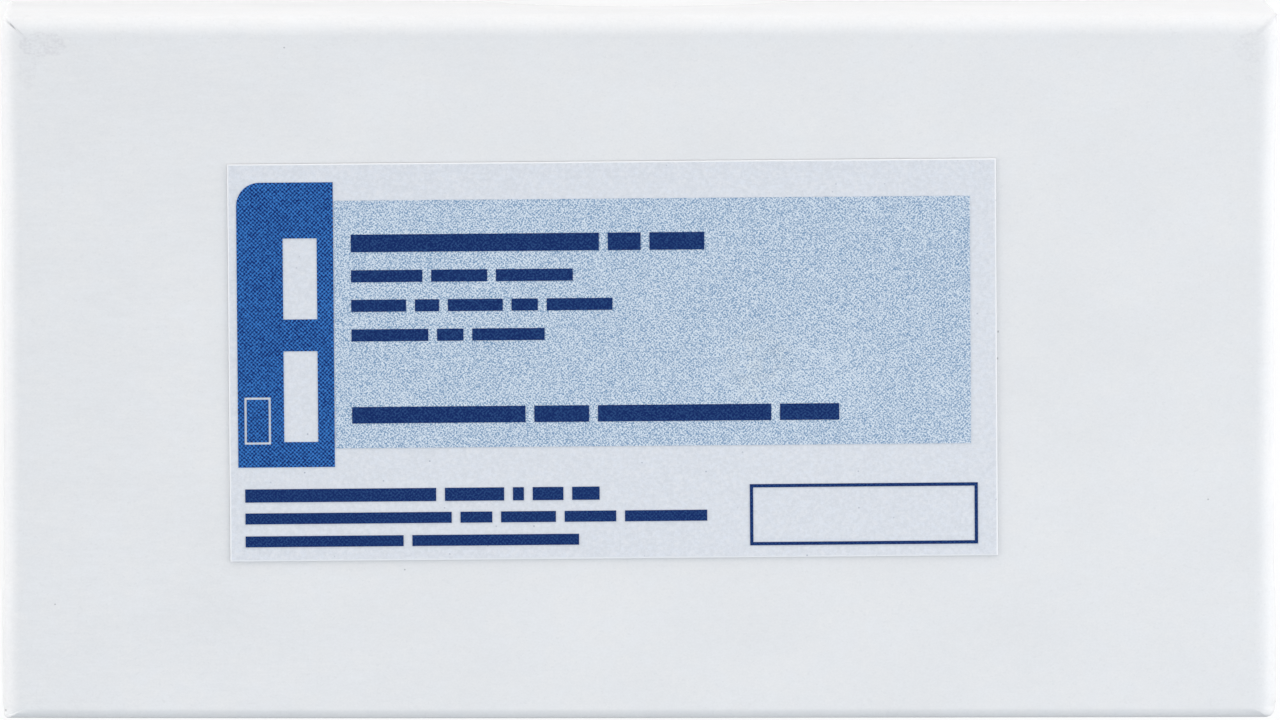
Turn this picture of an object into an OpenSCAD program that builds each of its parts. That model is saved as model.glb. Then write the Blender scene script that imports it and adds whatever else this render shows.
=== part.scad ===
// Rigid paper-wrapped box with a lift-off lid, for one glass cuvette.
//
// The box lies on its base with the lid up. +X runs along the box, +Y across
// it and +Z up; the origin is under the middle of the base, where it rests.
// Lid and base are trays of folded greyboard. Each is covered with white paper
// that goes round the rim and is turned in behind it.
// Every wall is drawn as an inset from the lid's outer paper, so the walls stay
// parallel and the telescoping clearance is the same all round.

/* [Box] */
// Length over the lid's paper
box_length = 116.4; // [96:0.2:180]
// Width over the lid's paper
box_width = 64.4; // [58:0.2:120]
// Clearance between lid and base on each side
telescope_clearance = 0.5; // [0.3:0.05:1.5]
// Height of base that shows below the lid's rim
base_reveal = 1; // [0.4:0.1:4]

/* [Board and paper] */
// Thickness of the greyboard
board_t = 1.4; // [0.8:0.1:1.6]
// Thickness of the covering paper
paper_t = 0.12; // [0.08:0.01:0.2]
// Thickness of the glue film under the paper
glue_t = 0.05; // [0.04:0.01:0.1]
// Radius of the folded edges, over the paper
fold_r = 2; // [1.9:0.1:4]
// Radius of the upright corners, over the paper
corner_r = 1; // [0.5:0.1:1.6]
// How far the paper is turned in behind the rim
turn_in = 12; // [5:0.5:16]
// Thickness of the paper stays that hold the corners
stay_t = 0.1; // [0.06:0.01:0.2]
// Width of a corner stay on each wall
stay_w = 9; // [5:0.5:14]
// Gap between neighbouring walls at an upright corner
score_gap = 0.15; // [0.05:0.05:0.5]

/* [Thumb notches] */
// Width of a thumb notch along the lid's rim
notch_w = 29; // [16:0.5:40]
// Depth of a thumb notch
notch_d = 8.5; // [4:0.5:12]

/* [Cuvette] */
// Outer side of the square cuvette
cell_side = 12.5; // [11:0.1:16]
// Height of the cuvette
cell_length = 45; // [30:0.5:60]
// Thickness of the cuvette's walls; the light path is what is left between them
cell_window_t = 1.25; // [0.8:0.05:2.5]
// Thickness of the cuvette's floor
cell_floor_t = 1.5; // [1:0.1:3]
// Bevel on the cuvette's outer upright edges
cell_bevel = 0.25; // [0.1:0.05:0.5]
// Thickness of the cap's plate
cap_plate_t = 2.6; // [1:0.1:5]
// Length of the cap's plug
cap_plug_l = 4; // [2:0.5:8]
// Clearance round the cap's plug
cap_clearance = 0.1; // [0.05:0.05:0.3]

/* [Foam] */
// Thickness of the plain foam sheet in the base
floor_foam_t = 5; // [2:0.5:12]
// Depth of the cuvette below the top of the cut foam
cell_cover = 1.5; // [0.5:0.1:6]
// Clearance round the cuvette in its slot
slot_clearance = 0.3; // [0.1:0.05:1]
// Radius of the slot's corners
slot_corner_r = 1; // [0.5:0.1:3]
// Diameter of the finger hole across the slot
finger_hole_d = 26; // [22:0.5:44]
// Thickness of the foam pad in the lid
lid_pad_t = 2.6; // [1:0.1:6]
// Margin between the lid pad and the base's inner walls
lid_pad_margin = 2; // [0.5:0.5:6]
// Air between the lid pad and the cut foam
pad_gap = 0.3; // [0.2:0.1:2]
// Clearance between foam and walls
foam_clearance = 0.2; // [0.1:0.05:1]

/* [Label] */
// Length of the label
label_length = 70; // [66:0.5:84]
// Height of the label
label_height = 36.3; // [34:0.1:46]
// Thickness of the label
label_t = 0.1; // [0.06:0.01:0.2]
// Offset of the label from the middle of the lid, along the box
label_dx = -2.5; // [-4:0.1:4]
// Offset of the label from the middle of the lid, across the box
label_dy = 0.7; // [-3:0.1:3]
// Slant at which the label is stuck on, in degrees
label_turn = 0.4; // [0:0.1:2]
// Thickness of the printed layer
ink_t = 0.03; // [0.02:0.01:0.05]
// Distance from the label's left edge to the dark tab
tab_left = 0.8; // [0.4:0.1:2]
// Distance from the label's top edge to the dark tab
tab_top = 1.7; // [0.5:0.1:3]
// Distance from the label's bottom edge to the dark tab
tab_bottom = 8.6; // [7.6:0.1:9]
// Width of the dark tab
tab_w = 8.8; // [8.6:0.1:12]
// Radius of the tab's rounded corner
tab_corner_r = 2.1; // [0.5:0.1:4]
// Distance from the label's top edge to the pale field
field_top = 3.4; // [1:0.1:4]
// Distance from the label's bottom edge to the pale field
field_bottom = 10.3; // [8:0.1:10.4]
// Distance from the label's right edge to the pale field
field_right = 2.4; // [0.5:0.1:6]
// White line between tab and field
field_gap = 0.1; // [0.05:0.05:0.5]
// Distance from the pale field's left edge to its lines of print
field_margin = 1.5; // [0.5:0.1:3]
// Distance from the label's left edge to the lines of print at its foot
foot_margin = 1.4; // [0.5:0.1:3]
// Distance from the label's right edge to the blank box at its foot
blank_box_right = 1.8; // [0.5:0.1:4]
// Length of the blank box
blank_box_l = 20.8; // [12:0.2:22]
// Height of the blank box
blank_box_h = 5.6; // [3:0.1:6]

/* [Hidden] */

ROUND_FN = 64;       // facets of a full circle
OVER = 1;            // how far a cutting solid reaches past what it cuts
SHARP = 0.05;        // a radius below this is drawn as a sharp corner

// Wall, from its outer paper to its turned-in paper
cover_t = paper_t + glue_t;
wall_t = board_t + 2 * cover_t;
panel_t = board_t + cover_t;

// Stack of the contents, from the base's board to the lid's board
cut_foam_t = cell_side + cell_cover;
base_room = floor_foam_t + cut_foam_t + pad_gap + lid_pad_t;
base_height = panel_t + base_room;
base_inset = wall_t + telescope_clearance;
lid_depth = base_height + panel_t - base_reveal;
face_z = base_reveal + lid_depth;
foam_z = panel_t + floor_foam_t;
foam_inset = base_inset + wall_t + foam_clearance;
lid_pad_inset = base_inset + wall_t + lid_pad_margin;

notch_r = (notch_w * notch_w / 4 + notch_d * notch_d) / (2 * notch_d);

STAY_RIM_MARGIN = 1;     // from the board's rim to a stay
STAY_FOLD_MARGIN = 0.5;  // from the fold's round to a stay
MITRE_ANGLE = 12;        // slant of the turned-in paper's ends

// Cuvette with its cap, centred along the slot
packed_length = cell_length + cap_plate_t;
cell_path = cell_side - 2 * cell_window_t;
cell_z = foam_z + cell_side / 2;

// Label, from its lower left corner
tab_h = label_height - tab_top - tab_bottom;
field_x = tab_left + tab_w + field_gap;
field_w = label_length - field_x - field_right;
field_h = label_height - field_top - field_bottom;

// Lines of print: place, height and the lengths of their bars
WORD_GAP = 0.8;
FIELD_LINES = [    // place down from the field's top
    [3.9, 1.6, [22.6, 3, 5]],
    [6.9, 1.1, [6.5, 5.1, 7]],
    [9.6, 1.1, [5, 2.2, 5, 2.4, 6]],
    [12.3, 1.1, [7, 2.4, 6.6]],
    [19.6, 1.5, [15.8, 5, 15.8, 5.4]],
];
FOOT_LINES = [     // place up from the label's foot
    [6, 1.2, [17.4, 5.4, 1, 2.8, 2.5]],
    [3.9, 1, [18.8, 2.9, 5, 4.7, 7.5]],
    [1.8, 1, [14.4, 15.2]],
];
BLANK_BOX_UP = 1.1;
BLANK_BOX_LINE = 0.3;

// Marks on the tab that show the label's white, from the tab's lower left corner
TAB_BARS = [[2.3, 8.3], [13.5, 7.4]];    // start and length along the tab
TAB_BAR_X = 4.2;
TAB_BAR_W = 3.1;
TAB_FRAME = [0.6, 2.1];                // corner of the blank frame
TAB_FRAME_SIZE = [2.4, 4.3];
TAB_FRAME_LINE = 0.2;

// ---------------------------------------------------------------- walls

// Section of a folded tray, rim down, with its two upper corners rounded
module folded_section(width, height, r) {
    translate([-width / 2, 0]) square([width, height - r]);
    translate([r - width / 2, 0]) square([width - 2 * r, height]);
    for (side = [-1, 1])
        translate([side * (width / 2 - r), height - r]) circle(r, $fn = ROUND_FN);
}

module rounded_rectangle(l, w, r) {
    if (r > SHARP) {
        square([l - 2 * r, w], center = true);
        square([l, w - 2 * r], center = true);
        for (x = [-1, 1], y = [-1, 1])
            translate([x * (l / 2 - r), y * (w / 2 - r)]) circle(r, $fn = ROUND_FN);
    } else {
        square([l, w], center = true);
    }
}

// Block between four walls that lie `inset` in from the lid's outer paper. With a
// face_r its upper edges are folds, which meet in a mitre at the corners.
module walled_block(inset, z0, z1, face_r = 0, upright_r = 0) {
    length = box_length - 2 * inset;
    width = box_width - 2 * inset;
    height = z1 - z0;
    translate([0, 0, z0]) {
        if (face_r > SHARP) intersection() {
            rotate([90, 0, 90]) linear_extrude(length, center = true)
                folded_section(width, height, face_r);
            rotate([90, 0, 0]) linear_extrude(width, center = true)
                folded_section(length, height, face_r);
            linear_extrude(height) rounded_rectangle(length, width, upright_r);
        } else {
            linear_extrude(height) rounded_rectangle(length, width, upright_r);
        }
    }
}

module at_corners(inset) {
    for (x = [0, 1], y = [0, 1]) mirror([x, 0, 0]) mirror([0, y, 0])
        translate([box_length / 2 - inset, box_width / 2 - inset, 0]) children();
}

// ---------------------------------------------------------------- trays, rim down

// Band of one corner stay, or of the pocket that it is pressed into
module stay_band(inset, depth, thickness, slack) {
    outer = inset + cover_t;
    low = cover_t + STAY_RIM_MARGIN;
    high = depth - fold_r - STAY_FOLD_MARGIN;
    intersection() {
        difference() {
            walled_block(outer, 0, depth, 0, corner_r - cover_t);
            walled_block(outer + thickness, -OVER, depth + OVER, 0, corner_r - cover_t - thickness);
        }
        at_corners(outer) translate([-stay_w - slack, -stay_w - slack, low - slack])
            cube([stay_w + OVER, stay_w + OVER, high - low + 2 * slack]);
    }
}

module corner_stays(inset, depth) {
    stay_band(inset, depth, stay_t, 0);
}

// Greyboard folded at scored lines, so sharp inside and round outside; the walls' ends don't meet
module tray_board(inset, depth) {
    outer = inset + cover_t;
    inner = outer + board_t;
    difference() {
        walled_block(outer, cover_t, depth - cover_t, fold_r - cover_t);
        walled_block(inner, -OVER, depth - panel_t);
        at_corners(inner + score_gap) translate([0, 0, -OVER])
            cube([wall_t + OVER, wall_t + OVER, depth - fold_r + OVER]);
        stay_band(inset, depth, stay_t + glue_t, glue_t);
    }
}

// Paper over the tray, round its rim and turned in behind it
module tray_wrap(inset, depth) {
    turned = inset + wall_t - paper_t;
    difference() {
        walled_block(inset, 0, depth, fold_r, corner_r);
        difference() {
            walled_block(
                inset + paper_t, paper_t, depth - paper_t, fold_r - paper_t, corner_r - paper_t
            );
            walled_block(turned, -OVER, turn_in);
        }
        walled_block(inset + wall_t, -OVER, turn_in + OVER);
        turn_in_mitres(turned, paper_t);
    }
}

// The turned-in flaps are cut at an angle, so that they don't overlap at the corners
module turn_in_mitres(inset, z0) {
    at_corners(inset) translate([0, 0, z0]) {
        rotate([90, 0, 0]) linear_extrude(2 * paper_t + OVER, center = true) mitre();
        rotate([90, 0, 90]) linear_extrude(2 * paper_t + OVER, center = true) mitre();
    }
}

module mitre() {
    polygon([[OVER, 0], [0, 0], [-turn_in * tan(MITRE_ANGLE), turn_in], [OVER, turn_in]]);
}

// Round thumb notches in both long walls, cut through board and paper
module thumb_notches() {
    for (side = [-1, 1])
        translate([0, side * (box_width - wall_t) / 2, notch_d - notch_r]) rotate([90, 0, 0])
            cylinder(r = notch_r, h = wall_t + 2 * OVER, center = true, $fn = 2 * ROUND_FN);
}

module in_lid() {
    translate([0, 0, base_reveal]) children();
}

module in_base() {
    translate([0, 0, base_height]) mirror([0, 0, 1]) children();
}

// ---------------------------------------------------------------- base

module base_board() color("#a9a49b") in_base() tray_board(base_inset, base_height);

module base_wrap() color("#f2f4f6") in_base() tray_wrap(base_inset, base_height);

module base_corner_stays() color("#c9b48c") in_base() corner_stays(base_inset, base_height);

module foam_floor_sheet() color("#3c4045") walled_block(foam_inset, panel_t, foam_z);

// Foam with a slot for the cuvette and a round hole for finger and thumb
module foam_cut_layer() color("#4a4f55") difference() {
    walled_block(foam_inset, foam_z, foam_z + cut_foam_t);
    translate([0, 0, foam_z - OVER]) linear_extrude(cut_foam_t + 2 * OVER) {
        rounded_rectangle(
            packed_length + 2 * slot_clearance, cell_side + 2 * slot_clearance, slot_corner_r
        );
        circle(d = finger_hole_d, $fn = 2 * ROUND_FN);
    }
}

// ---------------------------------------------------------------- cuvette, mouth towards +X

module along_slot() {
    translate([-packed_length / 2, 0, cell_z]) rotate([90, 0, 90]) children();
}

module bevelled_square(side, bevel) {
    h = side / 2;
    b = h - bevel;
    polygon([[h, b], [b, h], [-b, h], [-h, b], [-h, -b], [-b, -h], [b, -h], [h, -b]]);
}

module cuvette() color("#dfeaf0", 0.5) along_slot() difference() {
    linear_extrude(cell_length) bevelled_square(cell_side, cell_bevel);
    translate([0, 0, cell_floor_t]) linear_extrude(cell_length)
        square(cell_path, center = true);
}

module cuvette_cap() color("#f7f7f4") along_slot() {
    translate([0, 0, cell_length]) linear_extrude(cap_plate_t)
        bevelled_square(cell_side, cell_bevel);
    translate([0, 0, cell_length - cap_plug_l]) linear_extrude(cap_plug_l)
        bevelled_square(cell_path - 2 * cap_clearance, cell_bevel);
}

// ---------------------------------------------------------------- lid

module lid_board() color("#a9a49b") in_lid() difference() {
    tray_board(0, lid_depth);
    thumb_notches();
}

module lid_wrap() color("#f2f4f6") in_lid() difference() {
    tray_wrap(0, lid_depth);
    thumb_notches();
}

module lid_corner_stays() color("#c9b48c") in_lid() corner_stays(0, lid_depth);

module lid_foam_pad() color("#4a4f55")
    walled_block(lid_pad_inset, base_height - lid_pad_t, base_height);

// ---------------------------------------------------------------- label

module on_label(layer) {
    translate([label_dx, label_dy, face_z + layer]) rotate([0, 0, label_turn])
        translate([-label_length / 2, -label_height / 2]) children();
}

module label_paper() color("#dde1e9") on_label(0) cube([label_length, label_height, label_t]);

module printed() {
    on_label(label_t) linear_extrude(ink_t) children();
}

module label_pale_field() color("#b1c3d7") printed()
    translate([field_x, field_bottom]) square([field_w, field_h]);

module frame(size, line) {
    difference() {
        square(size);
        translate([line, line]) square([size[0] - 2 * line, size[1] - 2 * line]);
    }
}

// Dark tab with one rounded corner; its white marks are left unprinted
module label_blue_tab() color("#2c5a9d") printed() translate([tab_left, tab_bottom]) difference() {
    union() {
        square([tab_w, tab_h - tab_corner_r]);
        translate([tab_corner_r, 0]) square([tab_w - tab_corner_r, tab_h]);
        translate([tab_corner_r, tab_h - tab_corner_r]) circle(tab_corner_r, $fn = ROUND_FN);
    }
    for (bar = TAB_BARS) translate([TAB_BAR_X, bar[0]]) square([TAB_BAR_W, bar[1]]);
    translate(TAB_FRAME) frame(TAB_FRAME_SIZE, TAB_FRAME_LINE);
}

function sum_to(list, n) = n == 0 ? 0 : list[n - 1] + sum_to(list, n - 1);

// Plain bars in a row, as long as words, centred on y = 0
module print_line(height, bars) {
    for (k = [0 : len(bars) - 1])
        translate([sum_to(bars, k) + k * WORD_GAP, -height / 2]) square([bars[k], height]);
}

// Dark lines over the pale field and at the label's foot, and a blank box for a note
module label_dark_print() color("#1b3768") {
    on_label(label_t + ink_t) linear_extrude(ink_t)
        for (line = FIELD_LINES)
            translate([field_x + field_margin, label_height - field_top - line[0]])
                print_line(line[1], line[2]);
    printed() for (line = FOOT_LINES)
        translate([foot_margin, line[0]]) print_line(line[1], line[2]);
    printed() translate([label_length - blank_box_right - blank_box_l, BLANK_BOX_UP])
        frame([blank_box_l, blank_box_h], BLANK_BOX_LINE);
}

base_board();
base_wrap();
base_corner_stays();
foam_floor_sheet();
foam_cut_layer();
cuvette();
cuvette_cap();
lid_board();
lid_wrap();
lid_corner_stays();
lid_foam_pad();
label_paper();
label_pale_field();
label_blue_tab();
label_dark_print();
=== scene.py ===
"""Looks of a paper-wrapped cuvette box with a lift-off lid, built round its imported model.

Sizes are in millimetres until a mesh is made. +X runs along the box, from the label's tab
towards its right end, +Y up the label, and +Z up, the way the lid lifts.
"""

import logging
import math
from dataclasses import dataclass, field
from enum import Enum
from functools import cached_property
from typing import Any, Callable, Sequence

import bmesh
import bpy
import numpy as np
from mathutils import Matrix, Vector, noise
from mathutils.geometry import delaunay_2d_cdt


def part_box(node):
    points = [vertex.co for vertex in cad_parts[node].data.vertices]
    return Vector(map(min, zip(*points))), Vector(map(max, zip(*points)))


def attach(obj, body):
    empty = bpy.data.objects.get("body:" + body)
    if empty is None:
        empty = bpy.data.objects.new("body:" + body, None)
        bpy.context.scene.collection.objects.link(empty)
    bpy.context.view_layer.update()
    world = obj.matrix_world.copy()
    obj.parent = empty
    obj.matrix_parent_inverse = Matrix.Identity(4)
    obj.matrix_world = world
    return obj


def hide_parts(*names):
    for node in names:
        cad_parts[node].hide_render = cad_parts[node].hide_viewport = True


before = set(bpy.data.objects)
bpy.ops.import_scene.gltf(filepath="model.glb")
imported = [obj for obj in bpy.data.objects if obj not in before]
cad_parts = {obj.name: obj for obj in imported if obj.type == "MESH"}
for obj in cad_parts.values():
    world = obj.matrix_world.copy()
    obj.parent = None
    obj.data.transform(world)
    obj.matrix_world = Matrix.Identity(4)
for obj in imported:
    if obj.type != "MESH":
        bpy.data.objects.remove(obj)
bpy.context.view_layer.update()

MM = 0.001
LID_HALF = (58.2, 32.2)
WHITE = (1.0, 1.0, 1.0)

Colour = tuple[float, float, float]
Array = np.ndarray

log = logging.getLogger("cuvette_box")


# ---------------------------------------------------------------- shader maths


class Graph:
    """A node tree, filled by one method that adds nodes."""

    def __init__(self, tree: bpy.types.NodeTree) -> None:
        """Empties the tree.

        Args:
            tree: the material's or world's node tree.
        """
        self.tree = tree
        tree.nodes.clear()

    def feed(self, socket: bpy.types.NodeSocket, value: Any) -> None:
        """Gives a socket its value or its link.

        Args:
            socket: the input to fill.
            value: a Signal, an output socket, or a plain value.
        """
        if isinstance(value, Signal):
            value = value.socket
        if isinstance(value, bpy.types.NodeSocket):
            self.tree.links.new(value, socket)
        elif isinstance(value, (tuple, list)) and socket.type == "RGBA":
            socket.default_value = (*value[:3], 1.0)
        else:
            socket.default_value = value

    def node(
        self,
        kind: str,
        settings: dict[str, Any] | None = None,
        inputs: dict[int | str, Any] | None = None,
    ) -> bpy.types.Node:
        """Adds a node, sets its settings and then fills its sockets.

        Args:
            kind: the node's type name.
            settings: the node's own settings.
            inputs: values or links by socket name or number.

        Returns:
            The new node.
        """
        made = self.tree.nodes.new(kind)
        for key, value in (settings or {}).items():
            setattr(made, key, value)
        for key, value in (inputs or {}).items():
            self.feed(made.inputs[key], value)
        return made

    def signal(self, kind: str, settings: dict[str, Any], inputs: dict[int | str, Any],
               output: int | str = 0) -> "Signal":
        """Adds a node and wraps one of its outputs.

        Args:
            kind: the node's type name.
            settings: the node's own settings.
            inputs: values or links by socket name or number.
            output: the output to wrap.

        Returns:
            The wrapped output.
        """
        return Signal(self, self.node(kind, settings, inputs).outputs[output])

    def place(self) -> bpy.types.NodeSocket:
        """Returns the point on the surface in millimetres, in the piece's own frame."""
        here = self.node("ShaderNodeTexCoord").outputs["Object"]
        return self.vector("MULTIPLY", here, (1 / MM,) * 3)

    def vector(self, operation: str, *values: Any) -> bpy.types.NodeSocket:
        """Adds a Vector Math node.

        Args:
            operation: the node's operation.
            values: what it works on, in order.

        Returns:
            Its vector result.
        """
        made = self.node(
            "ShaderNodeVectorMath", {"operation": operation}, dict(enumerate(values))
        )
        return made.outputs[0]

    def axes(self, vector: bpy.types.NodeSocket) -> tuple["Signal", "Signal", "Signal"]:
        """Returns a vector's three numbers."""
        made = self.node("ShaderNodeSeparateXYZ", {}, {0: vector})
        return tuple(Signal(self, out) for out in made.outputs)

    def mix(self, factor: Any, low: Any, high: Any) -> bpy.types.NodeSocket:
        """Mixes two colours.

        Args:
            factor: 0 for the first colour and 1 for the second.
            low: the first colour, or a link to it.
            high: the second colour, or a link to it.

        Returns:
            The mixed colour.
        """
        settings = {"data_type": "RGBA", "clamp_factor": True}
        return self.node("ShaderNodeMix", settings, {0: factor, 6: low, 7: high}).outputs[2]

    def output(self, kind: str, factor: "Signal", first: bpy.types.Node,
               second: bpy.types.Node) -> None:
        """Adds the tree's output, fed by a mix of two shaders.

        Args:
            kind: the output node's type name.
            factor: 0 for the first shader and 1 for the second.
            first: the first shader.
            second: the second shader.
        """
        both = self.node(
            "ShaderNodeMixShader", {}, {0: factor, 1: first.outputs[0], 2: second.outputs[0]}
        )
        self.node(kind, {}, {"Surface": both.outputs[0]})

    def rays(self, *kinds: str) -> "Signal":
        """Tells rays of some kinds from others.

        Args:
            kinds: the kinds, by the Light Path node's output names.

        Returns:
            1 for rays of any of the kinds, and 0 for others.
        """
        outputs = self.node("ShaderNodeLightPath").outputs
        found = Signal(self, outputs[kinds[0]])
        for kind in kinds[1:]:
            found = found.most(Signal(self, outputs[kind]))
        return found


class Signal:
    """A number that varies over a surface; expressions on it add Math nodes."""

    def __init__(self, graph: Graph, socket: bpy.types.NodeSocket) -> None:
        """Wraps an output socket of a graph."""
        self.graph = graph
        self.socket = socket

    def _math(self, operation: str, *values: Any) -> "Signal":
        """Adds a Math node and returns its result."""
        inputs = dict(enumerate(values))
        return self.graph.signal("ShaderNodeMath", {"operation": operation}, inputs)

    def __add__(self, other: Any) -> "Signal":
        """Returns self + other."""
        return self._math("ADD", self, other)

    __radd__ = __add__

    def __sub__(self, other: Any) -> "Signal":
        """Returns self - other."""
        return self._math("SUBTRACT", self, other)

    def __rsub__(self, other: Any) -> "Signal":
        """Returns other - self."""
        return self._math("SUBTRACT", other, self)

    def __mul__(self, other: Any) -> "Signal":
        """Returns self * other."""
        return self._math("MULTIPLY", self, other)

    def __truediv__(self, other: Any) -> "Signal":
        """Returns self / other."""
        return self._math("DIVIDE", self, other)

    def __abs__(self) -> "Signal":
        """Returns the size of self without its sign."""
        return self._math("ABSOLUTE", self)

    def most(self, other: Any) -> "Signal":
        """Returns the larger of two numbers."""
        return self._math("MAXIMUM", self, other)

    def power(self, exponent: float) -> "Signal":
        """Returns self to a power."""
        return self._math("POWER", self, exponent)

    def sine(self) -> "Signal":
        """Returns the sine of self in radians."""
        return self._math("SINE", self)

    def rise(self, low: float, high: float) -> "Signal":
        """Makes a smooth step from 0 to 1.

        Args:
            low: where it is 0 and starts to rise.
            high: where it reaches 1; it may be less than low.

        Returns:
            The step.
        """
        return self.graph.signal(
            "ShaderNodeMapRange",
            {"interpolation_type": "SMOOTHSTEP", "clamp": True},
            {"Value": self, "From Min": low, "From Max": high, "To Min": 0.0, "To Max": 1.0},
        )


class Surface(Graph):
    """The node tree of a material with one Principled shader.

    Attributes:
        material: the material.
        shader: its Principled node.
        here: the point on the surface in millimetres.
    """

    def __init__(self, name: str, constants: dict[str, Any]) -> None:
        """Makes the material and its shader.

        Args:
            name: the material's name.
            constants: what stays the same all over it, by the shader's socket names.
        """
        self.material = bpy.data.materials.new(name)
        self.material.use_nodes = True
        super().__init__(self.material.node_tree)
        self.shader = self.node("ShaderNodeBsdfPrincipled", {}, constants)
        self.node("ShaderNodeOutputMaterial", {}, {"Surface": self.shader.outputs[0]})
        self.here = self.place()

    @cached_property
    def xyz(self) -> tuple[Signal, Signal, Signal]:
        """The three numbers of the point on the surface."""
        return self.axes(self.here)

    def stretched(self, grain: Sequence[float], shift: Sequence[float] = (0.0, 0.0, 0.0),
                  vector: Any = None) -> bpy.types.NodeSocket:
        """Scales a place so that one noise cell is as large as a grain.

        Args:
            grain: the grain's size along X, Y and Z in millimetres.
            shift: what is added after, so that two noises differ.
            vector: the place in millimetres, or None for the point on the surface.

        Returns:
            The scaled place.
        """
        scale = tuple(1 / g for g in grain)
        return self.vector("MULTIPLY_ADD", vector or self.here, scale, tuple(shift))

    def clouds(self, grain: Sequence[float], detail: float = 2.0, rough: float = 0.5,
               shift: Sequence[float] = (0.0, 0.0, 0.0), output: str = "Fac") -> Signal:
        """Adds smooth noise.

        Args:
            grain: the grains' size along X, Y and Z in millimetres.
            detail: how many finer layers of noise are added.
            rough: how strong the finer layers are.
            shift: tells one noise from another.
            output: "Fac" for one number, or "Color" for three.

        Returns:
            The noise, from 0 to 1.
        """
        return self.signal(
            "ShaderNodeTexNoise",
            {"noise_dimensions": "3D"},
            {"Vector": self.stretched(grain, shift), "Scale": 1.0, "Detail": detail,
             "Roughness": rough},
            output,
        )

    def cells(self, size: Sequence[float], feature: str = "F1",
              vector: Any = None) -> tuple[Signal, bpy.types.NodeSocket | None]:
        """Adds Voronoi cells.

        Args:
            size: the cells' size along X, Y and Z in millimetres.
            feature: what the node measures.
            vector: the place in millimetres, or None for the point on the surface.

        Returns:
            The measured distance in cells, and each cell's random colour where it has one.
        """
        made = self.node(
            "ShaderNodeTexVoronoi",
            {"feature": feature},
            {"Vector": self.stretched(size, vector=vector), "Scale": 1.0},
        )
        return Signal(self, made.outputs["Distance"]), made.outputs.get("Color")

    def finished(self, colour: Any, roughness: Signal, height: Signal) -> bpy.types.Material:
        """Feeds what varies over the surface to the shader.

        Args:
            colour: the base colour.
            roughness: the roughness.
            height: the fine relief in millimetres.

        Returns:
            The finished material.
        """
        inputs = {"Strength": 1.0, "Distance": MM, "Height": height}
        bump = self.node("ShaderNodeBump", {}, inputs)
        fed = {"Base Color": colour, "Roughness": roughness, "Normal": bump.outputs[0]}
        for socket, value in fed.items():
            self.feed(self.shader.inputs[socket], value)
        return self.material


# ---------------------------------------------------------------- finishes


@dataclass(frozen=True)
class LabelSpot:
    """Where the label is stuck on the lid.

    Attributes:
        size: its length and height.
        middle: where its middle lies.
        turn: its slant in degrees.
    """

    size: tuple[float, float] = (70.0, 36.3)
    middle: tuple[float, float] = (-2.5, 0.7)
    turn: float = 0.4

    def slant(self) -> tuple[float, float]:
        """Returns the cosine and the sine of the label's slant."""
        return math.cos(math.radians(self.turn)), math.sin(math.radians(self.turn))

    def placed(self, u: Array, v: Array) -> tuple[Array, Array]:
        """Returns where points of the label, from its middle, lie on the lid."""
        cosine, sine = self.slant()
        return self.middle[0] + cosine * u - sine * v, self.middle[1] + sine * u + cosine * v

    def outside(self, graph: Surface) -> Signal:
        """Measures how far each point of a surface lies from the label.

        Args:
            graph: the surface's material.

        Returns:
            The distance outside the label's edge, below zero on the label.
        """
        x, y, _ = graph.xyz
        cosine, sine = self.slant()
        x, y = x - self.middle[0], y - self.middle[1]
        u, v = x * cosine + y * sine, y * cosine - x * sine
        return (abs(u) - self.size[0] / 2).most(abs(v) - self.size[1] / 2)


@dataclass(frozen=True)
class Scuff:
    """A rubbed or stained patch.

    Attributes:
        middle, reach: its middle and half sizes along X and Y.
        strength: how strong it is.
    """

    middle: tuple[float, float]
    reach: tuple[float, float]
    strength: float

    def away(self, graph: Surface) -> Signal:
        """Returns the square of how far each point lies from the middle, 1 at the reach."""
        off_x, off_y = ((at - mid) / r for at, mid, r in zip(graph.xyz, self.middle, self.reach))
        return off_x.power(2.0) + off_y.power(2.0)


@dataclass(frozen=True)
class MitreShade:
    """A line of painted shade along the crease where the wrap is folded over itself at a corner of
    the lid.

    Attributes:
        corner: signs of the corner along X and Y.
        folds: widths of the two folds that meet there, across X and across Y.
        width: how wide the line is.
        span: where it starts and ends, measured in from the lid's end.
        strength: how dark it is.
    """

    corner: tuple[float, float]
    folds: tuple[float, float]
    width: float
    span: tuple[float, float]
    strength: float


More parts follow.
